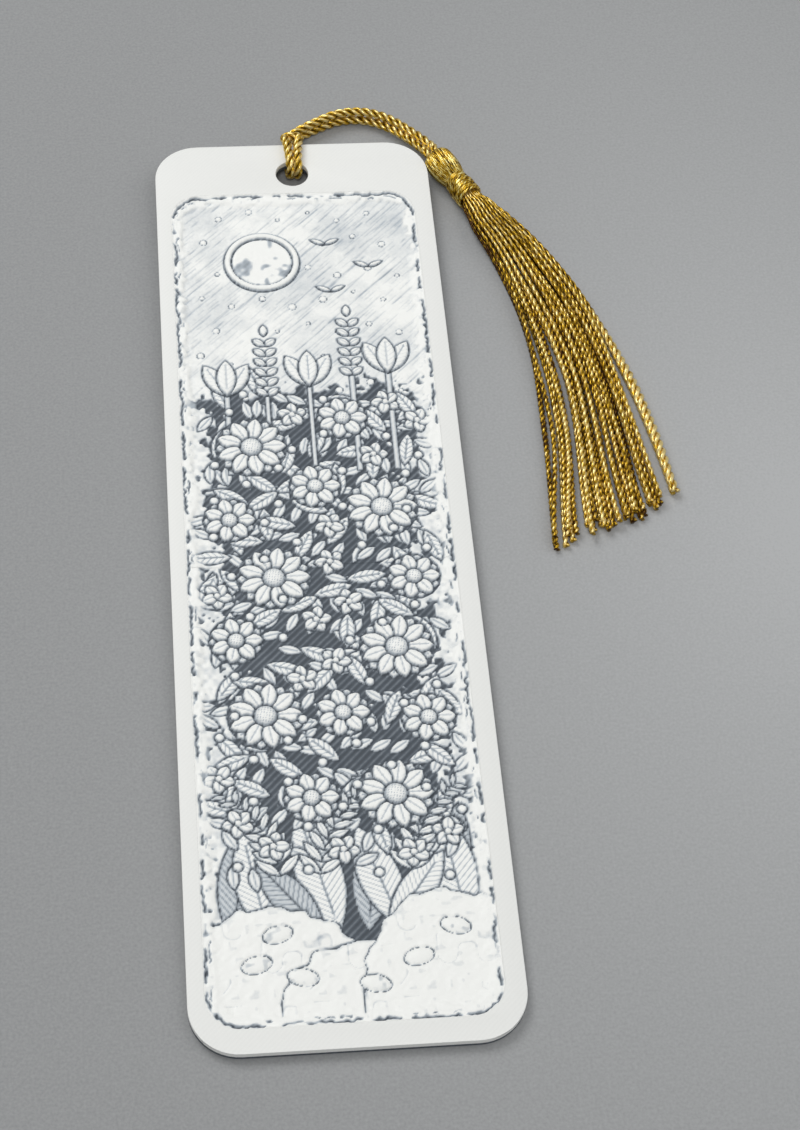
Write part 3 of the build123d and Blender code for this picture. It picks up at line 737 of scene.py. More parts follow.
# Places in the picture, as shares of its half width and half length
LARGE_DAISIES = ((-0.52, 0.31), (0.55, 0.14), (-0.4, -0.03), (0.56, -0.21), (-0.54, -0.36), (0.44, -0.55))
SMALL_DAISIES = (
    (0.28, 0.38), (-0.74, 0.12), (0.0, 0.2), (0.76, -0.04), (-0.74, -0.18), (0.08, -0.36), (0.76, -0.38),
    (-0.22, -0.55),
)
CUPS = ((-0.7, 0.5), (0.02, 0.52), (0.72, 0.55))
SPIKES = ((-0.35, 0.45), (0.4, 0.5))
BIRDS = ((0.26, 0.88), (0.64, 0.81), (0.28, 0.74))
PEBBLES = ((-0.72, -0.9), (-0.38, -0.93), (-0.55, -0.84), (0.16, -0.95), (0.5, -0.9), (0.8, -0.84))
MOON = (-0.32, 0.83)
MEADOW_TOP = 0.46
BANK_TOP = -0.74

# Each mound's place across with its half width and half height, each frond's with the side it bends to,
# and each broad leaf's with its lean in degrees and its length
MOUNDS = ((-0.6, 13.0, 14.5), (0.05, 10.0, 9.0), (0.72, 11.0, 16.0))
FRONDS = ((-0.5, -1), (-0.2, 1), (0.5, 1))
BROAD_LEAVES = (
    (-0.9, 78, 17.0), (-0.62, 100, 15.0), (-0.36, 72, 16.0), (-0.08, 104, 17.5), (0.14, 82, 14.5),
    (0.4, 108, 15.5), (0.62, 74, 18.0), (0.9, 98, 16.5), (-0.2, 128, 13.0), (0.3, 54, 13.0),
)

# Sizes in millimetres
MOON_RING = 5.6
MOON_FACE = 4.5
SPIKE_HEIGHT = 11
CUP_DEPTH = 3.2
FROND_BEND = 17
FROND_SWEEP = radians(52)
FROND_LEAN = radians(48)
FROND_STEPS = 9

# The sky's strokes: their pitch, seed, width and depth. The border's lines: their inset, width, seed and
# the least mottle that shows them
SKY_STROKES = ((2.3, 21, 0.15, 0.16), (0.9, 22, 0.12, 0.13), (0.55, 23, 0.1, 0.1))
BORDER_LINES = ((0.42, 0.2, 53, 0.24), (1.0, 0.09, 54, 0.62))


def paint_ground(field):
    """The sky's thin film with slanted strokes, and the dark meadow, with white clumps towards the sides."""
    x, y = field.across, field.along
    clump = mottle(x, y, 1.2, 15) * 0.6 + mottle(x, y, 0.55, 16) * 0.4
    foot = spot(0, MEADOW_TOP)[1]
    sky = step_up(y + 7.0 * (clump - 0.5), foot - 0.5, foot + 0.5)
    cloud = mottle(x, y, 7.0, 12) * 0.55 + mottle(x, y, 2.2, 13) * 0.3 + mottle(x, y, 0.8, 17) * 0.15
    film = 0.67 + 0.34 * cloud
    slope = (x - y) / sqrt(2)
    reach = (x + y) / sqrt(2)
    for pitch, seed, width, depth in SKY_STROKES:
        number = np.round(slope / pitch)
        shift = 0.3 * (mottle(number * 7.3, reach, 4.0, seed) - 0.5)
        lit = step_up(mottle(number * 3.7, reach, 2.4, seed + 10), 0.5, 0.7)
        film = film - depth * lit * np.exp(-((slope - number * pitch - shift) / width) ** 2)
    aside = step_up(np.abs(x - WINDOW_CENTER[0]) / PICTURE_HALF[0], 0.5, 1.0)
    white = step_up(clump + 0.55 * aside, 0.84, 0.93)
    dark = 0.07 + 0.09 * mottle(x, y, 1.6, 14)
    pale = 0.72 + 0.25 * mottle(x, y, 0.6, 18)
    ground = dark * (1 - white) + pale * white
    field.tone[:] = ground * (1 - sky) + film * sky
    field.high[:] = SHEET_HIGH + (0.3 + 0.12 * clump) * np.clip(field.tone - 0.12, 0, 1)


def paint_sky(field):
    """The moon in its ring, birds, and small round specks of light."""
    for number, place in enumerate(scattered(46, 0.4, 0.99)):
        field.dome(place, 0.26 + 0.3 * ((number * GOLDEN_SHARE) % 1), 0.4, 0.99, 0.25, outline=0.1)
    near, x, y = field.local(spot(*MOON), 0.0, MOON_RING + 1.4)
    radius = np.hypot(x, y)
    worn = mottle(x + 40, y + 40, 1.5, 31) * 0.6 + mottle(x + 40, y + 40, 0.7, 32) * 0.4
    field.press(near, radius - MOON_RING, 0.7, WHITE_TONE, 0.35)
    face = np.clip(WHITE_TONE - 0.5 * step_up(worn, 0.5, 0.85), 0, 1)
    beyond = 9.0
    field.press(near, np.where(radius < MOON_FACE + 0.25, radius - MOON_FACE, beyond), 0.45, face, 0.5)
    for share in BIRDS:
        for turn in (radians(24), radians(156)):
            field.lens(spot(*share), turn, 2.2, 0.62, 0.5, WHITE_TONE, 0.2)


def paint_bank(field):
    """Low mounds with a rough top and fine cracks at the foot of the picture, and stones on them."""
    for across, half_width, half_height in MOUNDS:
        near, x, y = field.local(spot(across, -1), 0.0, 18.0)
        ragged = 0.9 * (mottle(x, y, 1.3, 45) - 0.5)
        ring = np.hypot(x / half_width, y / half_height)
        broken = step_up(mottle(x + 9, y, 2.0, 42), 0.5, 0.62)
        crack = broken * (1 - step_up(np.abs(mottle(x, y, 2.3, 44) - 0.5), 0.0, 0.06))
        rough = mottle(x, y, 0.75, 43)
        tone = np.clip(0.98 - 0.22 * crack - 0.16 * step_up(rough, 0.65, 0.95), 0, 1)
        edge = (ring - 1) * half_height * 0.8 + ragged
        height = 0.42 + 0.12 * rough - 0.1 * crack
        field.press(near, edge, height, tone, 1.1, outline=0.2, rim_tone=0.7)
    for number, share in enumerate(PEBBLES):
        field.oval(spot(*share), radians(14) * (-1) ** number, 3.8, 2.3, 0.6, 0.98, 0.9)


def paint_leaves(field):
    """Broad leaves behind the bank, small and large meadow leaves, and fern fronds from the bank."""
    for number, (across, lean, length) in enumerate(BROAD_LEAVES):
        foot, width = spot(across, -0.84), 0.34 * length
        tone = 0.93 if number % 2 else 0.7
        field.lens(foot, radians(lean), length, width, 0.34, tone, 0.5, crease=0.6, veins=0.3)
    for number, place in enumerate(scattered(270, -0.7, MEADOW_TOP - 0.02)):
        field.lens(place, number * 2.1 * GOLDEN_TURN, 3.2, 1.35, 0.26, 0.88, 0.3, crease=0.35)
    places = []
    for place in scattered(90, -0.62, MEADOW_TOP):
        if far_from(place, places, 3.3):
            places.append(place)
    for number, place in enumerate(places):
        field.lens(place, number * GOLDEN_TURN, 5.4, 2.0, 0.36, 0.94, 0.4, crease=0.6, veins=0.36)
    for across, side in FRONDS:
        foot = spot(across, BANK_TOP)
        for share in np.arange(1, FROND_STEPS + 1) / FROND_STEPS:
            turn = FROND_SWEEP * share
            place = (foot[0] + side * FROND_BEND * (1 - cos(turn)), foot[1] + FROND_BEND * sin(turn))
            heading = pi / 2 - side * turn
            size = 1 - 0.55 * share
            for lean in (-FROND_LEAN, FROND_LEAN):
                field.lens(place, heading + lean, 3.9 * size, 1.25 * size, 0.36, 0.96, 0.25, crease=0.3)


def paint_flowers(field):
    """Tall cups and spikes on stalks, blossoms, daisies with raised hearts, and round buds."""
    foot = spot(0, MEADOW_TOP - 0.22)[1]
    large, small, cups, spikes = (
        [spot(*share) for share in shares] for shares in (LARGE_DAISIES, SMALL_DAISIES, CUPS, SPIKES)
    )
    tall = cups + spikes
    for place in tall:
        field.stroke((place[0], foot), place, 0.6, 0.25, 0.8)
    for across, along in spikes:
        for step in range(6):
            start = (across, along + SPIKE_HEIGHT * step / 6)
            for lean in (radians(35), radians(145)):
                field.lens(start, lean, 1.95, 1.05, 0.5, WHITE_TONE, 0.3, crease=0.3)
        field.lens((across, along + SPIKE_HEIGHT), pi / 2, 1.95, 1.05, 0.5, WHITE_TONE, 0.3)
    for across, along in cups:
        for lean in (radians(60), radians(120), radians(90)):
            start = (across, along - CUP_DEPTH)
            field.lens(start, lean, 6.4, 2.7, 0.62, WHITE_TONE, 0.5, crease=0.4, veins=0.16)
    blossoms = []
    for place in scattered(60, BANK_TOP, MEADOW_TOP):
        if (
            far_from(place, large, 7.35) and far_from(place, small, 5.95)
            and far_from(place, blossoms, 4.45) and far_from(place, tall, 5.0)
        ):
            blossoms.append(place)
    for number, place in enumerate(blossoms):
        for petal in range(5):
            turn = number * GOLDEN_TURN + 2 * pi * petal / 5
            field.lens(place, turn, 2.1, 1.5, 0.5, 0.96, 0.35, crease=0.35)
        field.dome(place, 0.45, 0.55, WHITE_TONE, 0.3, outline=0.14)
    for places, radius, heart, petals, width in ((large, 5.0, 1.5, 9, 2.15), (small, 3.6, 1.1, 7, 1.95)):
        for place in places:
            field.dome(place, radius, 0.05, 0.08, 0.3, outline=0.2)
            for row, height, tone in ((0.5, 0.42, 0.9), (0.0, 0.6, 0.99)):
                for petal in range(petals):
                    turn = 2 * pi * (petal + row) / petals
                    inside = heart - 0.3
                    start = (place[0] + inside * cos(turn), place[1] + inside * sin(turn))
                    field.lens(start, turn, radius - inside, width, height, tone, 0.5, crease=0.4, veins=0.12)
            field.dome(place, heart, 0.85, WHITE_TONE, 0.9 * heart, outline=0.3, dots=0.42)
    taken = large + small + blossoms + tall
    for place in scattered(130, BANK_TOP, MEADOW_TOP):
        if far_from(place, taken, 3.3):
            field.dome(place, 0.6, 0.45, WHITE_TONE, 0.5)
            taken.append(place)


def paint_border(field):
    """The rough white band round the picture, with its broken dark lines."""
    x, y = field.across - WINDOW_CENTER[0], field.along - WINDOW_CENTER[1]
    side, end = past_corners(x, y)
    inset = WINDOW_CORNER - np.hypot(np.maximum(side, 0), np.maximum(end, 0))
    inset = inset - np.minimum(np.maximum(side, end), 0)
    rough = mottle(x, y, 0.65, 51) - 0.5
    slow = mottle(x, y, 2.6, 52) - 0.5
    band = 1 - step_up(inset + 1.1 * slow + 0.9 * rough, 1.0, 2.2)
    tone = WHITE_TONE - 0.14 * step_up(rough, 0.1, 0.4)
    fine = mottle(x, y, 0.4, 55) - 0.5
    for center, width, seed, least in BORDER_LINES:
        line = np.abs(inset - center - 0.45 * slow - 0.35 * rough - 0.3 * fine)
        lit = step_up(mottle(x, y, 1.2, seed), least, least + 0.2)
        tone = tone - 0.85 * lit * np.exp(-(line / width) ** 2)
    flush = 1 - step_up(inset, 0.03, 0.2)
    tone = np.clip(tone + flush, SHEET_TONE, WHITE_TONE)
    height = 0.7 + 0.16 * rough - 0.45 * np.clip(0.9 - tone, 0, 1)
    height = np.clip(height * (1 - flush) + RELIEF_TOP * flush, 0.05, RELIEF_TOP)
    field.tone = field.tone * (1 - band) + tone * band
    field.high = field.high * (1 - band) + height * band


def relief_panel(low, high, pitch):
    """A flat grid over the window between two lengths of the card, drawn in at its rounded corners."""
    nothing()
    rows = int(round((high - low) / pitch))
    columns = int(round(2 * WINDOW_HALF[0] / pitch))
    bpy.ops.mesh.primitive_grid_add(x_subdivisions=columns, y_subdivisions=rows, size=1.0)
    obj = bpy.context.object
    places = np.empty(len(obj.data.vertices) * 3)
    obj.data.vertices.foreach_get("co", places)
    places = places.reshape(-1, 3)
    places /= np.abs(places[:, :2]).max()
    x = places[:, 0] * WINDOW_HALF[0] * WINDOW_FIT
    y = (low + high) / 2 - WINDOW_CENTER[1] + places[:, 1] * (high - low) / 2
    y = np.clip(y, -WINDOW_HALF[1] * WINDOW_FIT, WINDOW_HALF[1] * WINDOW_FIT)
    side, end = past_corners(x, y)
    corner = (side > 0) & (end > 0)
    pull = np.maximum(side, end)[corner] / np.hypot(side, end)[corner]
    x[corner] = np.sign(x[corner]) * (WINDOW_HALF[0] - WINDOW_CORNER + side[corner] * pull)
    y[corner] = np.sign(y[corner]) * (WINDOW_HALF[1] - WINDOW_CORNER + end[corner] * pull)
    return obj, x + WINDOW_CENTER[0], y + WINDOW_CENTER[1]


def close_panel(obj, across, along, high, tone):
    """Raise a panel's points, close it underneath and lay it on the card."""
    places = np.column_stack((across, along, BASE_TOP + high)) * MM
    obj.data.vertices.foreach_set("co", places.ravel())
    mark = obj.data.attributes.new("print_tone", "FLOAT", "POINT")
    mark.data.foreach_set("value", tone.astype(np.float32))
    alone(obj)
    bpy.ops.object.mode_set(mode="EDIT")
    bpy.ops.mesh.select_mode(type="EDGE")
    bpy.ops.mesh.select_all(action="DESELECT")
    bpy.ops.mesh.select_non_manifold(
        extend=False, use_wire=False, use_boundary=True, use_multi_face=False,
        use_non_contiguous=False, use_verts=False,
    )
    bpy.ops.mesh.extrude_region_move(TRANSFORM_OT_translate={"value": (0, 0, -0.0001)})
    bpy.ops.object.mode_set(mode="OBJECT")
    for vertex in obj.data.vertices:
        if vertex.select:
            vertex.co.z = (BASE_TOP + RELIEF_FOOT) * MM
    bpy.ops.object.mode_set(mode="EDIT")
    bpy.ops.mesh.edge_face_add()
    bpy.ops.mesh.select_all(action="SELECT")
    bpy.ops.mesh.normals_make_consistent(inside=False)
    bpy.ops.mesh.faces_shade_smooth()
    bpy.ops.object.mode_set(mode="OBJECT")
    obj.matrix_world = CARD
    bpy.ops.object.transform_apply(location=True, rotation=True, scale=True)


def edge_turns(mesh):
    """The angle between the two faces at each edge of a closed mesh."""
    sides = {}
    for polygon in mesh.polygons:
        for key in polygon.edge_keys:
            sides.setdefault(key, []).append(polygon.normal.copy())
    return [
        sides[edge.key][0].angle(sides[edge.key][1]) if len(sides.get(edge.key, ())) == 2 else 0.0
        for edge in mesh.edges
    ]


def rounded_copy(node, name, width, keep_window=False):
    """A copy of a CAD node with its triangles joined into flat faces and its edges rounded.

    With keep_window, the edges round the picture's window and along the card's foot stay sharp.
    """
    obj = alone(linked(name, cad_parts[node].data.copy()))
    bpy.ops.object.mode_set(mode="EDIT")
    bpy.ops.mesh.select_all(action="SELECT")
    bpy.ops.mesh.remove_doubles(threshold=0.000002)
    bpy.ops.mesh.dissolve_limited(angle_limit=radians(1.0))
    bpy.ops.object.mode_set(mode="OBJECT")
    weights = obj.data.attributes.new("bevel_weight_edge", "FLOAT", "EDGE")
    for edge, turn in zip(obj.data.edges, edge_turns(obj.data)):
        first, last = (obj.data.vertices[index].co for index in edge.vertices)
        middle = (first + last) / 2 / MM
        kept = keep_window and abs(middle.x) < RIM_INSIDE and middle.y < RIM_HEAD
        weights.data[edge.index].value = 1.0 if turn > radians(50) and not kept else 0.0
    bevel = obj.modifiers.new("round", "BEVEL")
    bevel.width = width
    bevel.segments = 3
    bevel.limit_method = "WEIGHT"
    bpy.ops.object.modifier_apply(modifier="round")
    bpy.ops.object.shade_smooth_by_angle(angle=radians(35))
    return obj


# The cord's route, in millimetres: round from the head, through the hitch and back to the head

def on_card(across, along, over):
    """A place on the card, in the row frame's millimetres."""
    return tuple((CARD @ (Vector((across, along, over)) * MM)) / MM)


CORD_ROUTE = [
    tuple(LIFT_POINT - STRAND_SIDE + 0.4 * HEAD_AXIS),
    tuple(LIFT_POINT - STRAND_SIDE - np.array((0.46, -0.66, 0.16))),
    (18.75, 77.0, 1.84), (16.0, 80.2, 1.22), (12.3, 82.3, 0.88), (8.3, 82.4, 0.74), (4.3, 80.5, 0.72),
    (0.9, 78.4, 0.72),
    on_card(1.1, 75.4, -0.9), on_card(1.0, 69.9, -0.91), on_card(0.94, 69.9, 2.45), on_card(1.2, 74.7, 2.45),
    on_card(1.85, 76.5, 1.75), on_card(-0.95, 76.5, 1.75), on_card(-0.4, 74.7, 2.45),
    on_card(-0.15, 69.9, 2.45), on_card(-0.2, 69.9, -0.91), on_card(-0.34, 75.4, -0.91),
    on_card(-0.3, 76.7, 0.56),
    (0.9, 78.5, 2.2), (4.3, 80.6, 2.2), (8.2, 82.6, 2.25), (12.4, 82.7, 2.3), (16.2, 80.9, 2.35),
    (19.4, 77.8, 2.4),
    tuple(LIFT_POINT + STRAND_SIDE - np.array((0.46, -0.66, 0.0))),
    tuple(LIFT_POINT + STRAND_SIDE + 0.4 * HEAD_AXIS),
]


def twist_cord(yarns, line, look, phase=0.0):
    """The cord's bold plies round a line."""
    yarns.twist(
        line, look.cord_plies, CORD_PLY_RADIUS, CORD_PLY_SPREAD, look.cord_turn, sides=10, tone=0.03,
        phase=phase, groove_shade=CORD_GROOVE_SHADE,
    )


# The head's outline from its crown to its neck: distances along its axis and from it, in millimetres
HEAD_OUTLINE = (
    (2.0, 0.9, 0), (0.8, 0.95, 0), (0.5, 1.5, 0), (0.95, 2.05, 0), (2.0, 2.22, 0), (3.5, 2.18, 0),
    (4.8, 1.98, 0), (5.8, 1.7, 0), (6.6, 1.45, 0), (7.2, 1.3, 0),
)
HEAD_WIDEST = 2.3


def round_head(along, angle, radius):
    """Points in metres round the head's axis, from places along it, angles and distances from it."""
    radial = HEAD_SIDE * np.cos(angle)[:, None] + UP * np.sin(angle)[:, None]
    return (along + radial * np.reshape(radius, (-1, 1))) * MM


# The skirt's fan

# Places across the fan, from -1 to 1: the threads left of the first lie apart; each parting has its width
LOOSE_SIDE = -0.5
SKIRT_PARTINGS = ((-0.82, 0.12), (LOOSE_SIDE, 0.15))

# Lengths and heights in millimetres
SKIRT_LENGTH = 63.5
LOOSE_LENGTH = 61.0
FREE_START = 0.6
MOUTH_GAP = 0.12
SETTLING = 18.0
LYING_HEIGHT = 0.44
LAYER_HEIGHT = 0.66
AXIS_HEIGHT = LIFT_POINT[2]


def skirt_reach(distance):
    """How far along its free length a place on the skirt is, from 0 to 1."""
    return np.clip((distance - FREE_START) / (SKIRT_LENGTH - FREE_START), 0, 1)


def skirt_drift(distance):
    """How far the middle of the skirt has bent off its straight heading."""
    share = skirt_reach(distance)
    return 26.0 * share * (1 - share) ** 2 - 8.0 * share**2


def skirt_half_width(distance):
    """Half the width of the fan."""
    return 1.75 + 7.55 * skirt_reach(distance) ** 0.6


def thread_half_width(distance):
    """Half the width of the fan of fine threads, which stays narrower near the neck."""
    return 1.85 + 7.45 * skirt_reach(distance) ** 0.74


def thread_middle(distance):
    """Where the middle of the fine threads runs; it leaves the fan's middle only past the neck."""
    offset = thread_half_width(distance) - skirt_half_width(distance) - 0.7 * (1 - skirt_reach(distance))
    return skirt_drift(distance) + offset * step_up(distance, 0, 6)


def drawn_in(distance):
    """The share of its place off the axis that a thread keeps: less in the wrap, all of it past the mouth."""
    return 0.88 + 0.12 * step_up(distance, -0.2, 1.5)


def skirt_settled(distance):
    """From 0 at the neck, where the threads are packed round, to 1 where they lie in layers."""
    return step_up(skirt_reach(distance), 0, SETTLING / SKIRT_LENGTH)


def fan_line(distance, lateral, rise):
    """Points in metres of a thread, from its distances along the skirt, across it and up from its middle."""
    inside = np.minimum(distance, 0.0)[:, None] * HEAD_AXIS
    outside = np.maximum(distance, 0.0)[:, None] * SKIRT_AXIS
    line = NECK_MOUTH + MOUTH_GAP * SKIRT_AXIS + inside + outside
    return (line + lateral[:, None] * SKIRT_SIDE + rise[:, None] * UP) * MM


def skirt_thread(columns, column, layer, rng):
    """One thread of the skirt with its own length and slow bends: its line, size, tone and looseness."""
    number = column * 3 + layer
    length = SKIRT_LENGTH - 0.1 - 2.3 * ((number * GOLDEN_TURN / (2 * pi)) % 1)
    distance = np.arange(-1.8, length, 0.4)
    half = thread_half_width(distance)
    place = 2 * (column + 0.5) / columns - 1
    aside = place < LOOSE_SIDE
    if layer == 1 and not aside:
        place -= 1 / columns
    settled = skirt_settled(distance)
    free = skirt_reach(distance)
    parted = sum(width * (1 - place) / (1 - cut) for cut, width in SKIRT_PARTINGS if place > cut)
    parted = parted * step_up(free, 0.22, 0.6) * (1 - 0.7 * step_up(free, 0.6, 1.0))
    sway = (0.3 if aside else 0.2) * rng.normal()
    wave = sway * np.sin(2 * pi * (free * (1.2 + rng.random()) + rng.random()))
    stray = (0.3 if aside else 0.24) * rng.normal()
    lateral = half * (0.96 * place + parted) + wave * free + stray * free**1.5
    lateral = thread_middle(distance) + drawn_in(distance) * np.clip(lateral, -half, half)
    if aside:
        lateral -= 1.4 * step_up(free, 0.7, 1.05)
    packed = 1.5 * (layer - 1) * sqrt(1 - (0.96 * place) ** 2) * drawn_in(distance)
    laid = LYING_HEIGHT + LAYER_HEIGHT * layer * (1 - 0.3 * free) - AXIS_HEIGHT
    hump = 0.22 * rng.random() * np.sin(2 * pi * (free * 2.0 + rng.random())) * settled
    rise = np.maximum(packed + settled * (laid - packed) + hump, LYING_HEIGHT - AXIS_HEIGHT)
    size = np.clip(0.3 + 0.56 * (2 * half / columns) / 0.8, 0.5, 1.0)
    # painted shade: threads are darker in the lower layers and towards the neck, where they lie packed under
    # the others, and less so towards their ends; the random part is each thread's own tone
    tone = 0.07 * rng.normal() + (1 - 0.75 * free) * (0.1 * (layer - 1) - 0.16) + 0.01 * free
    loosened = 0.45 + 0.55 * step_up(free, 0.05, 0.45)
    return fan_line(distance, lateral, rise), size, tone, loosened


def loose_strand():
    """The thick strand that leaves the fan at its outer side: its line, size and tone."""
    distance = np.arange(-1.5, LOOSE_LENGTH, 0.35)
    settled = skirt_settled(distance)
    free = skirt_reach(distance)
    outer = skirt_drift(distance) + skirt_half_width(distance) + 0.17 + settled
    grown = step_up(distance, -0.4, 5.0)
    inner = thread_middle(distance) + (thread_half_width(distance) + 0.3) * (0.5 + 0.5 * grown)
    lateral = inner + (outer - inner) * step_up(free, 0.4, 0.92)
    size = 0.4 + 0.1 * grown + 0.5 * step_up(free, 0.35, 0.65) - 0.25 * step_up(free, 0.75, 1.0)
    tone = -0.1 + 0.2 * step_up(free, 0.3, 0.6)
    return fan_line(distance, lateral, settled * (0.9 - AXIS_HEIGHT)), size, tone


# The stage

def hang_light(name, kind, energy, place):
    """A lamp at a place that shines on the middle of the table."""
    lamp = bpy.data.lights.new(name, kind)
    lamp.energy = energy
    holder = linked(name, lamp)
    holder.location = place
    holder.rotation_euler = (-place).to_track_quat("-Z", "Y").to_euler()
    return lamp


# Operators

class BOOKMARK_OT_layers(Operator):
    """Dress the dark base sheet and the white rim that is printed on it"""

    bl_idname = "bookmark.layers"
    bl_label = "Printed layers"

    def execute(self, context):
        look = context.scene.bookmark_card
        slate = printed_material("slate_print", look.slate, 400.0, 1500.0, 0.3, 0.5)
        white = printed_material("white_print", look.white, 640.0, 1700.0, 0.02, 0.1)
        sheet = rounded_copy("base_sheet", "base_sheet_print", look.edge_round)
        settle(sheet, "base_sheet_print", slate, "slate_print", "base_sheet")
        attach(sheet, "card")
        rim = rounded_copy("white_rim", "white_rim_print", look.edge_round, keep_window=True)
        settle(rim, "white_rim_print", white, "white_print", "white_rim")
        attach(rim, "card")
        return {"FINISHED"}


class BOOKMARK_OT_relief(Operator):
    """Paint the meadow relief into the rim's window, in two panels"""

    bl_idname = "bookmark.relief"
    bl_label = "Relief picture"

    def execute(self, context):
        look = context.scene.bookmark_card
        low, high = WINDOW_CENTER[1] - WINDOW_HALF[1], WINDOW_CENTER[1] + WINDOW_HALF[1]
        pitch = look.relief_pitch / MM
        panels = [relief_panel(low, WINDOW_CENTER[1], pitch), relief_panel(WINDOW_CENTER[1], high, pitch)]
        field = ReliefField(
            np.concatenate([panel[1] for panel in panels]), np.concatenate([panel[2] for panel in panels]),
            look.outline / MM,
        )
        for paint in (paint_ground, paint_sky, paint_leaves, paint_bank, paint_flowers, paint_border):
            paint(field)
        grain = 0.05 * (mottle(field.across, field.along, 0.45, 61) - 0.5)
        field.high = np.clip(field.high + grain * np.clip(field.tone * 2 - 0.6, 0, 1), 0.02, RELIEF_TOP)
        material = relief_material(look)
        start = 0
        replaced = {"relief_lower": RELIEF_NODES, "relief_upper": ()}
        for (obj, across, along), (name, nodes) in zip(panels, replaced.items()):
            rows = slice(start, start + len(across))
            close_panel(obj, across, along, field.high[rows], field.tone[rows])
            settle(obj, name, material, "film_print", *nodes)
            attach(obj, "card")
            start += len(across)
        return {"FINISHED"}


class BOOKMARK_OT_cord(Operator):
    """Twist the cord along its route through the hitch, and its two ends in the head"""

    bl_idname = "bookmark.cord"
    bl_label = "Cord"

    def execute(self, context):
        look = context.scene.bookmark_thread
        material = thread_material("gold_cord", look, 5.0, smooth=1.8)
        path = smooth_line(CORD_ROUTE, 30)
        yarns = Yarns()
        twist_cord(yarns, path, look)
        nodes = ("hitch_cord", "loop_strand_outer", "loop_strand_inner")
        cord = settle(yarns.mesh("cord"), "cord", material, "gold_cord", *nodes)
        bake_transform(cord)
        ends = Yarns()
        for side in (-1, 1):
            start = LIFT_POINT + side * STRAND_SIDE
            tip = start - side * 0.2 * HEAD_SIDE + 4.4 * HEAD_AXIS
            twist_cord(ends, np.linspace(start - 0.1 * HEAD_AXIS, tip, 32) * MM, look, phase=side)
        tails = settle(ends.mesh("cord_ends"), "cord_ends", material, "gold_cord", "cord_knot")
        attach(tails, "head")
        return {"FINISHED"}


class BOOKMARK_OT_head(Operator):
    """Fold threads over the head and wind the wrap round the neck"""

    bl_idname = "bookmark.head"
    bl_label = "Tassel head"

    def execute(self, context):
        look = context.scene.bookmark_thread
        # painted light: the head and the wrap get a lighter copy of the thread's gold, its two upper stops
        # raised by 1.12
        material = thread_material("gold_head", look, 4.0, painted_light_lift=1.12)
        rng = np.random.default_rng(8)
        profile = smooth_line(HEAD_OUTLINE, 6) / MM
        along = HEAD_TOP + profile[:, 0:1] * HEAD_AXIS
        yarns = Yarns()
        for number in range(look.head_threads):
            angle = 2 * pi * (number + 0.3 * rng.random()) / look.head_threads + 0.05 * profile[:, 0]
            radius = np.minimum(profile[:, 1] * (0.985 + 0.03 * rng.random()), HEAD_WIDEST)
            tone = 0.04 * rng.normal() - 0.028
            yarns.single(round_head(along, angle, radius), HEAD_THREAD_RADIUS, 6, tone, skew=0.3)
        head = settle(yarns.mesh("head_threads"), "head_threads", material, "gold_thread", "tassel_head")
        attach(head, "head")
        turns = np.linspace(0, look.wrap_turns, look.wrap_turns * 36 + 1)
        advance = 0.85 + 4.4 * turns / look.wrap_turns + 0.06 * np.sin(2 * pi * turns / 2.3)
        along = NECK_START + advance[:, None] * HEAD_AXIS
        radius = 1.6 + 0.3 * step_up(turns, 0, 5) + 0.03 * np.sin(2 * pi * turns / 3.7)
        core = np.linspace(NECK_START - 0.2 * HEAD_AXIS, NECK_MOUTH - 0.4 * HEAD_AXIS, 30) * MM
        winding = Yarns()
        line = round_head(along, 2 * pi * turns, radius)
        winding.single(line, WRAP_THREAD_RADIUS, sides=8, tone=-0.038, skew=0.5)
        # painted shade: the core under the wrap is coloured darker than the wrap, as shade between its turns
        winding.single(core, NECK_CORE_RADIUS, sides=24, tone=-0.12)
        nodes = ("neck_wrap", "neck_core")
        wrap = settle(winding.mesh("neck_winding"), "neck_winding", material, "gold_thread", *nodes)
        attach(wrap, "head")
        return {"FINISHED"}


class BOOKMARK_OT_skirt(Operator):
    """Fan the skirt's twisted threads out from the neck, with the thick loose one at the side"""

    bl_idname = "bookmark.skirt"
    bl_label = "Tassel skirt"

    def execute(self, context):
        look = context.scene.bookmark_thread
        material = thread_material("gold_skirt", look, 4.0, smooth=1.4)
        rng = np.random.default_rng(4)
        layers = (look.skirt_columns + 3, look.skirt_columns + 3, look.skirt_columns)
        for side, first, last in (("left", 0, 0.3), ("middle", 0.3, 0.7), ("right", 0.7, 1)):
            name = f"skirt_threads_{side}"
            yarns = Yarns()
            for layer, columns in enumerate(layers):
                for column in range(round(first * columns), round(last * columns)):
                    line, size, tone, loosened = skirt_thread(columns, column, layer, rng)
                    turn = look.skirt_turn * (0.85 + 0.3 * rng.random())
                    phase = 2 * pi * rng.random()
                    yarns.twist(
                        line, 2, SKIRT_PLY_RADIUS, SKIRT_PLY_SPREAD * loosened, turn, 6, tone, phase,
                        flare=0.7, size=size, groove_shade=SKIRT_GROOVE_SHADE,
                    )
            skirt = settle(yarns.mesh(name), name, material, "gold_thread", f"skirt_{side}")
            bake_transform(skirt)
        line, size, tone = loose_strand()
        yarns = Yarns()
        yarns.twist(
            line, 3, LOOSE_PLY_RADIUS, LOOSE_PLY_SPREAD, LOOSE_TURN, 8, tone,
            flare=0.3, size=size, groove_shade=SKIRT_GROOVE_SHADE,
        )
        loose = settle(yarns.mesh("loose_thread"), "loose_thread", material, "gold_cord", "loose_strand")
        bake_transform(loose)
        return {"FINISHED"}


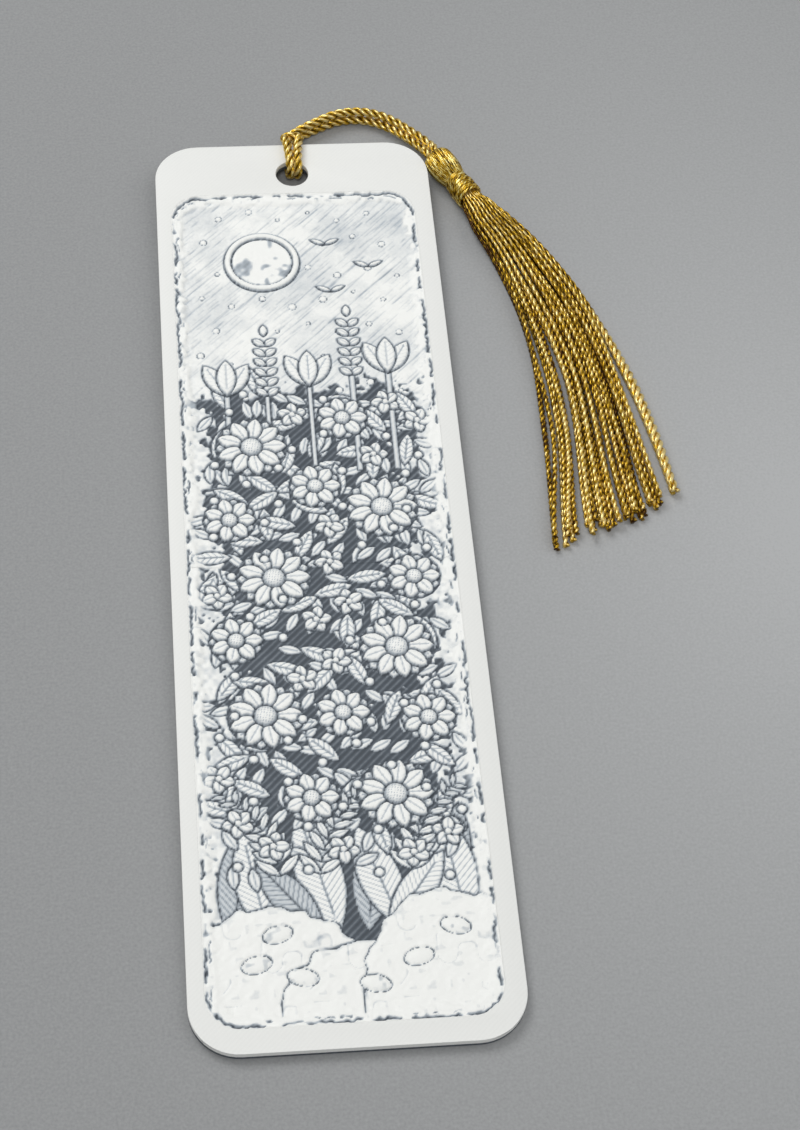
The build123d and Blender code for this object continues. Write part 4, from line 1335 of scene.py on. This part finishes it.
class BOOKMARK_OT_stage(Operator):
    """Set the table, the soft light and the camera"""

    bl_idname = "bookmark.stage"
    bl_label = "Table, light and camera"

    def execute(self, context):
        look = context.scene.bookmark_stage
        nothing()
        bpy.ops.mesh.primitive_grid_add(
            x_subdivisions=4, y_subdivisions=4, size=6.0, location=(0, 0, -0.00005),
        )
        table = context.object
        bpy.ops.object.transform_apply(location=True, rotation=True, scale=True)
        table.name = "table_top"
        table.data.materials.append(table_material(look))
        world = context.scene.world or bpy.data.worlds.new("World")
        context.scene.world = world
        world.use_nodes = True
        sky = world.node_tree.nodes["Background"]
        sky.inputs["Color"].default_value = (0.97, 0.985, 1.0, 1.0)
        sky.inputs["Strength"].default_value = 0.26
        back = Vector((
            sin(CAMERA_TURN) * cos(CAMERA_LIFT), -cos(CAMERA_TURN) * cos(CAMERA_LIFT), sin(CAMERA_LIFT),
        ))
        hang_light("window_light", "AREA", 5.2, Vector((-0.4, 0.55, 0.85))).size = 0.6
        hang_light("fill_light", "AREA", 2.4, Vector((0.75, 0.05, 0.8))).size = 1.0
        hang_light("room_light", "SUN", 0.85, back).angle = radians(20)
        right = Vector((cos(CAMERA_TURN), sin(CAMERA_TURN), 0))
        top = back.cross(right)
        x_axis = right * cos(CAMERA_ROLL) + top * sin(CAMERA_ROLL)
        y_axis = top * cos(CAMERA_ROLL) - right * sin(CAMERA_ROLL)
        lens = bpy.data.cameras.new("camera")
        lens.sensor_fit = "VERTICAL"
        lens.sensor_height = SENSOR_HEIGHT
        lens.lens = SENSOR_HEIGHT * look.focal / FRAME_HEIGHT
        lens.clip_start = 0.01
        camera = linked("camera", lens)
        turned = Matrix((x_axis, y_axis, back)).transposed().to_4x4()
        camera.matrix_world = Matrix.Translation(LOOK_AT + back * look.distance) @ turned
        context.scene.camera = camera
        context.scene.view_settings.view_transform = "Standard"
        return {"FINISHED"}


class BOOKMARK_PT_pieces(Panel):
    """The bookmark's pieces in the 3D view's sidebar"""

    bl_label = "Bookmark"
    bl_idname = "BOOKMARK_PT_pieces"
    bl_space_type = "VIEW_3D"
    bl_region_type = "UI"
    bl_category = "Bookmark"

    def draw(self, context):
        for label, group in GROUPS.items():
            for name in group.__annotations__:
                self.layout.prop(getattr(context.scene, label), name)
        for operator in OPERATORS:
            self.layout.operator(operator.bl_idname)


GROUPS = {"bookmark_card": CardLook, "bookmark_thread": ThreadLook, "bookmark_stage": StageLook}
OPERATORS = (
    BOOKMARK_OT_stage, BOOKMARK_OT_cord, BOOKMARK_OT_layers, BOOKMARK_OT_relief, BOOKMARK_OT_head,
    BOOKMARK_OT_skirt,
)
CLASSES = (*GROUPS.values(), *OPERATORS, BOOKMARK_PT_pieces)


def register():
    for item in CLASSES:
        bpy.utils.register_class(item)
    for label, group in GROUPS.items():
        setattr(bpy.types.Scene, label, PointerProperty(type=group))


def unregister():
    for label in GROUPS:
        delattr(bpy.types.Scene, label)
    for item in reversed(CLASSES):
        bpy.utils.unregister_class(item)


def main():
    """Register the add-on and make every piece."""
    register()
    bpy.ops.bookmark.stage()
    bpy.ops.bookmark.cord()
    bpy.ops.bookmark.layers()
    bpy.ops.bookmark.relief()
    bpy.ops.bookmark.head()
    bpy.ops.bookmark.skirt()


if __name__ == "__main__":
    main()
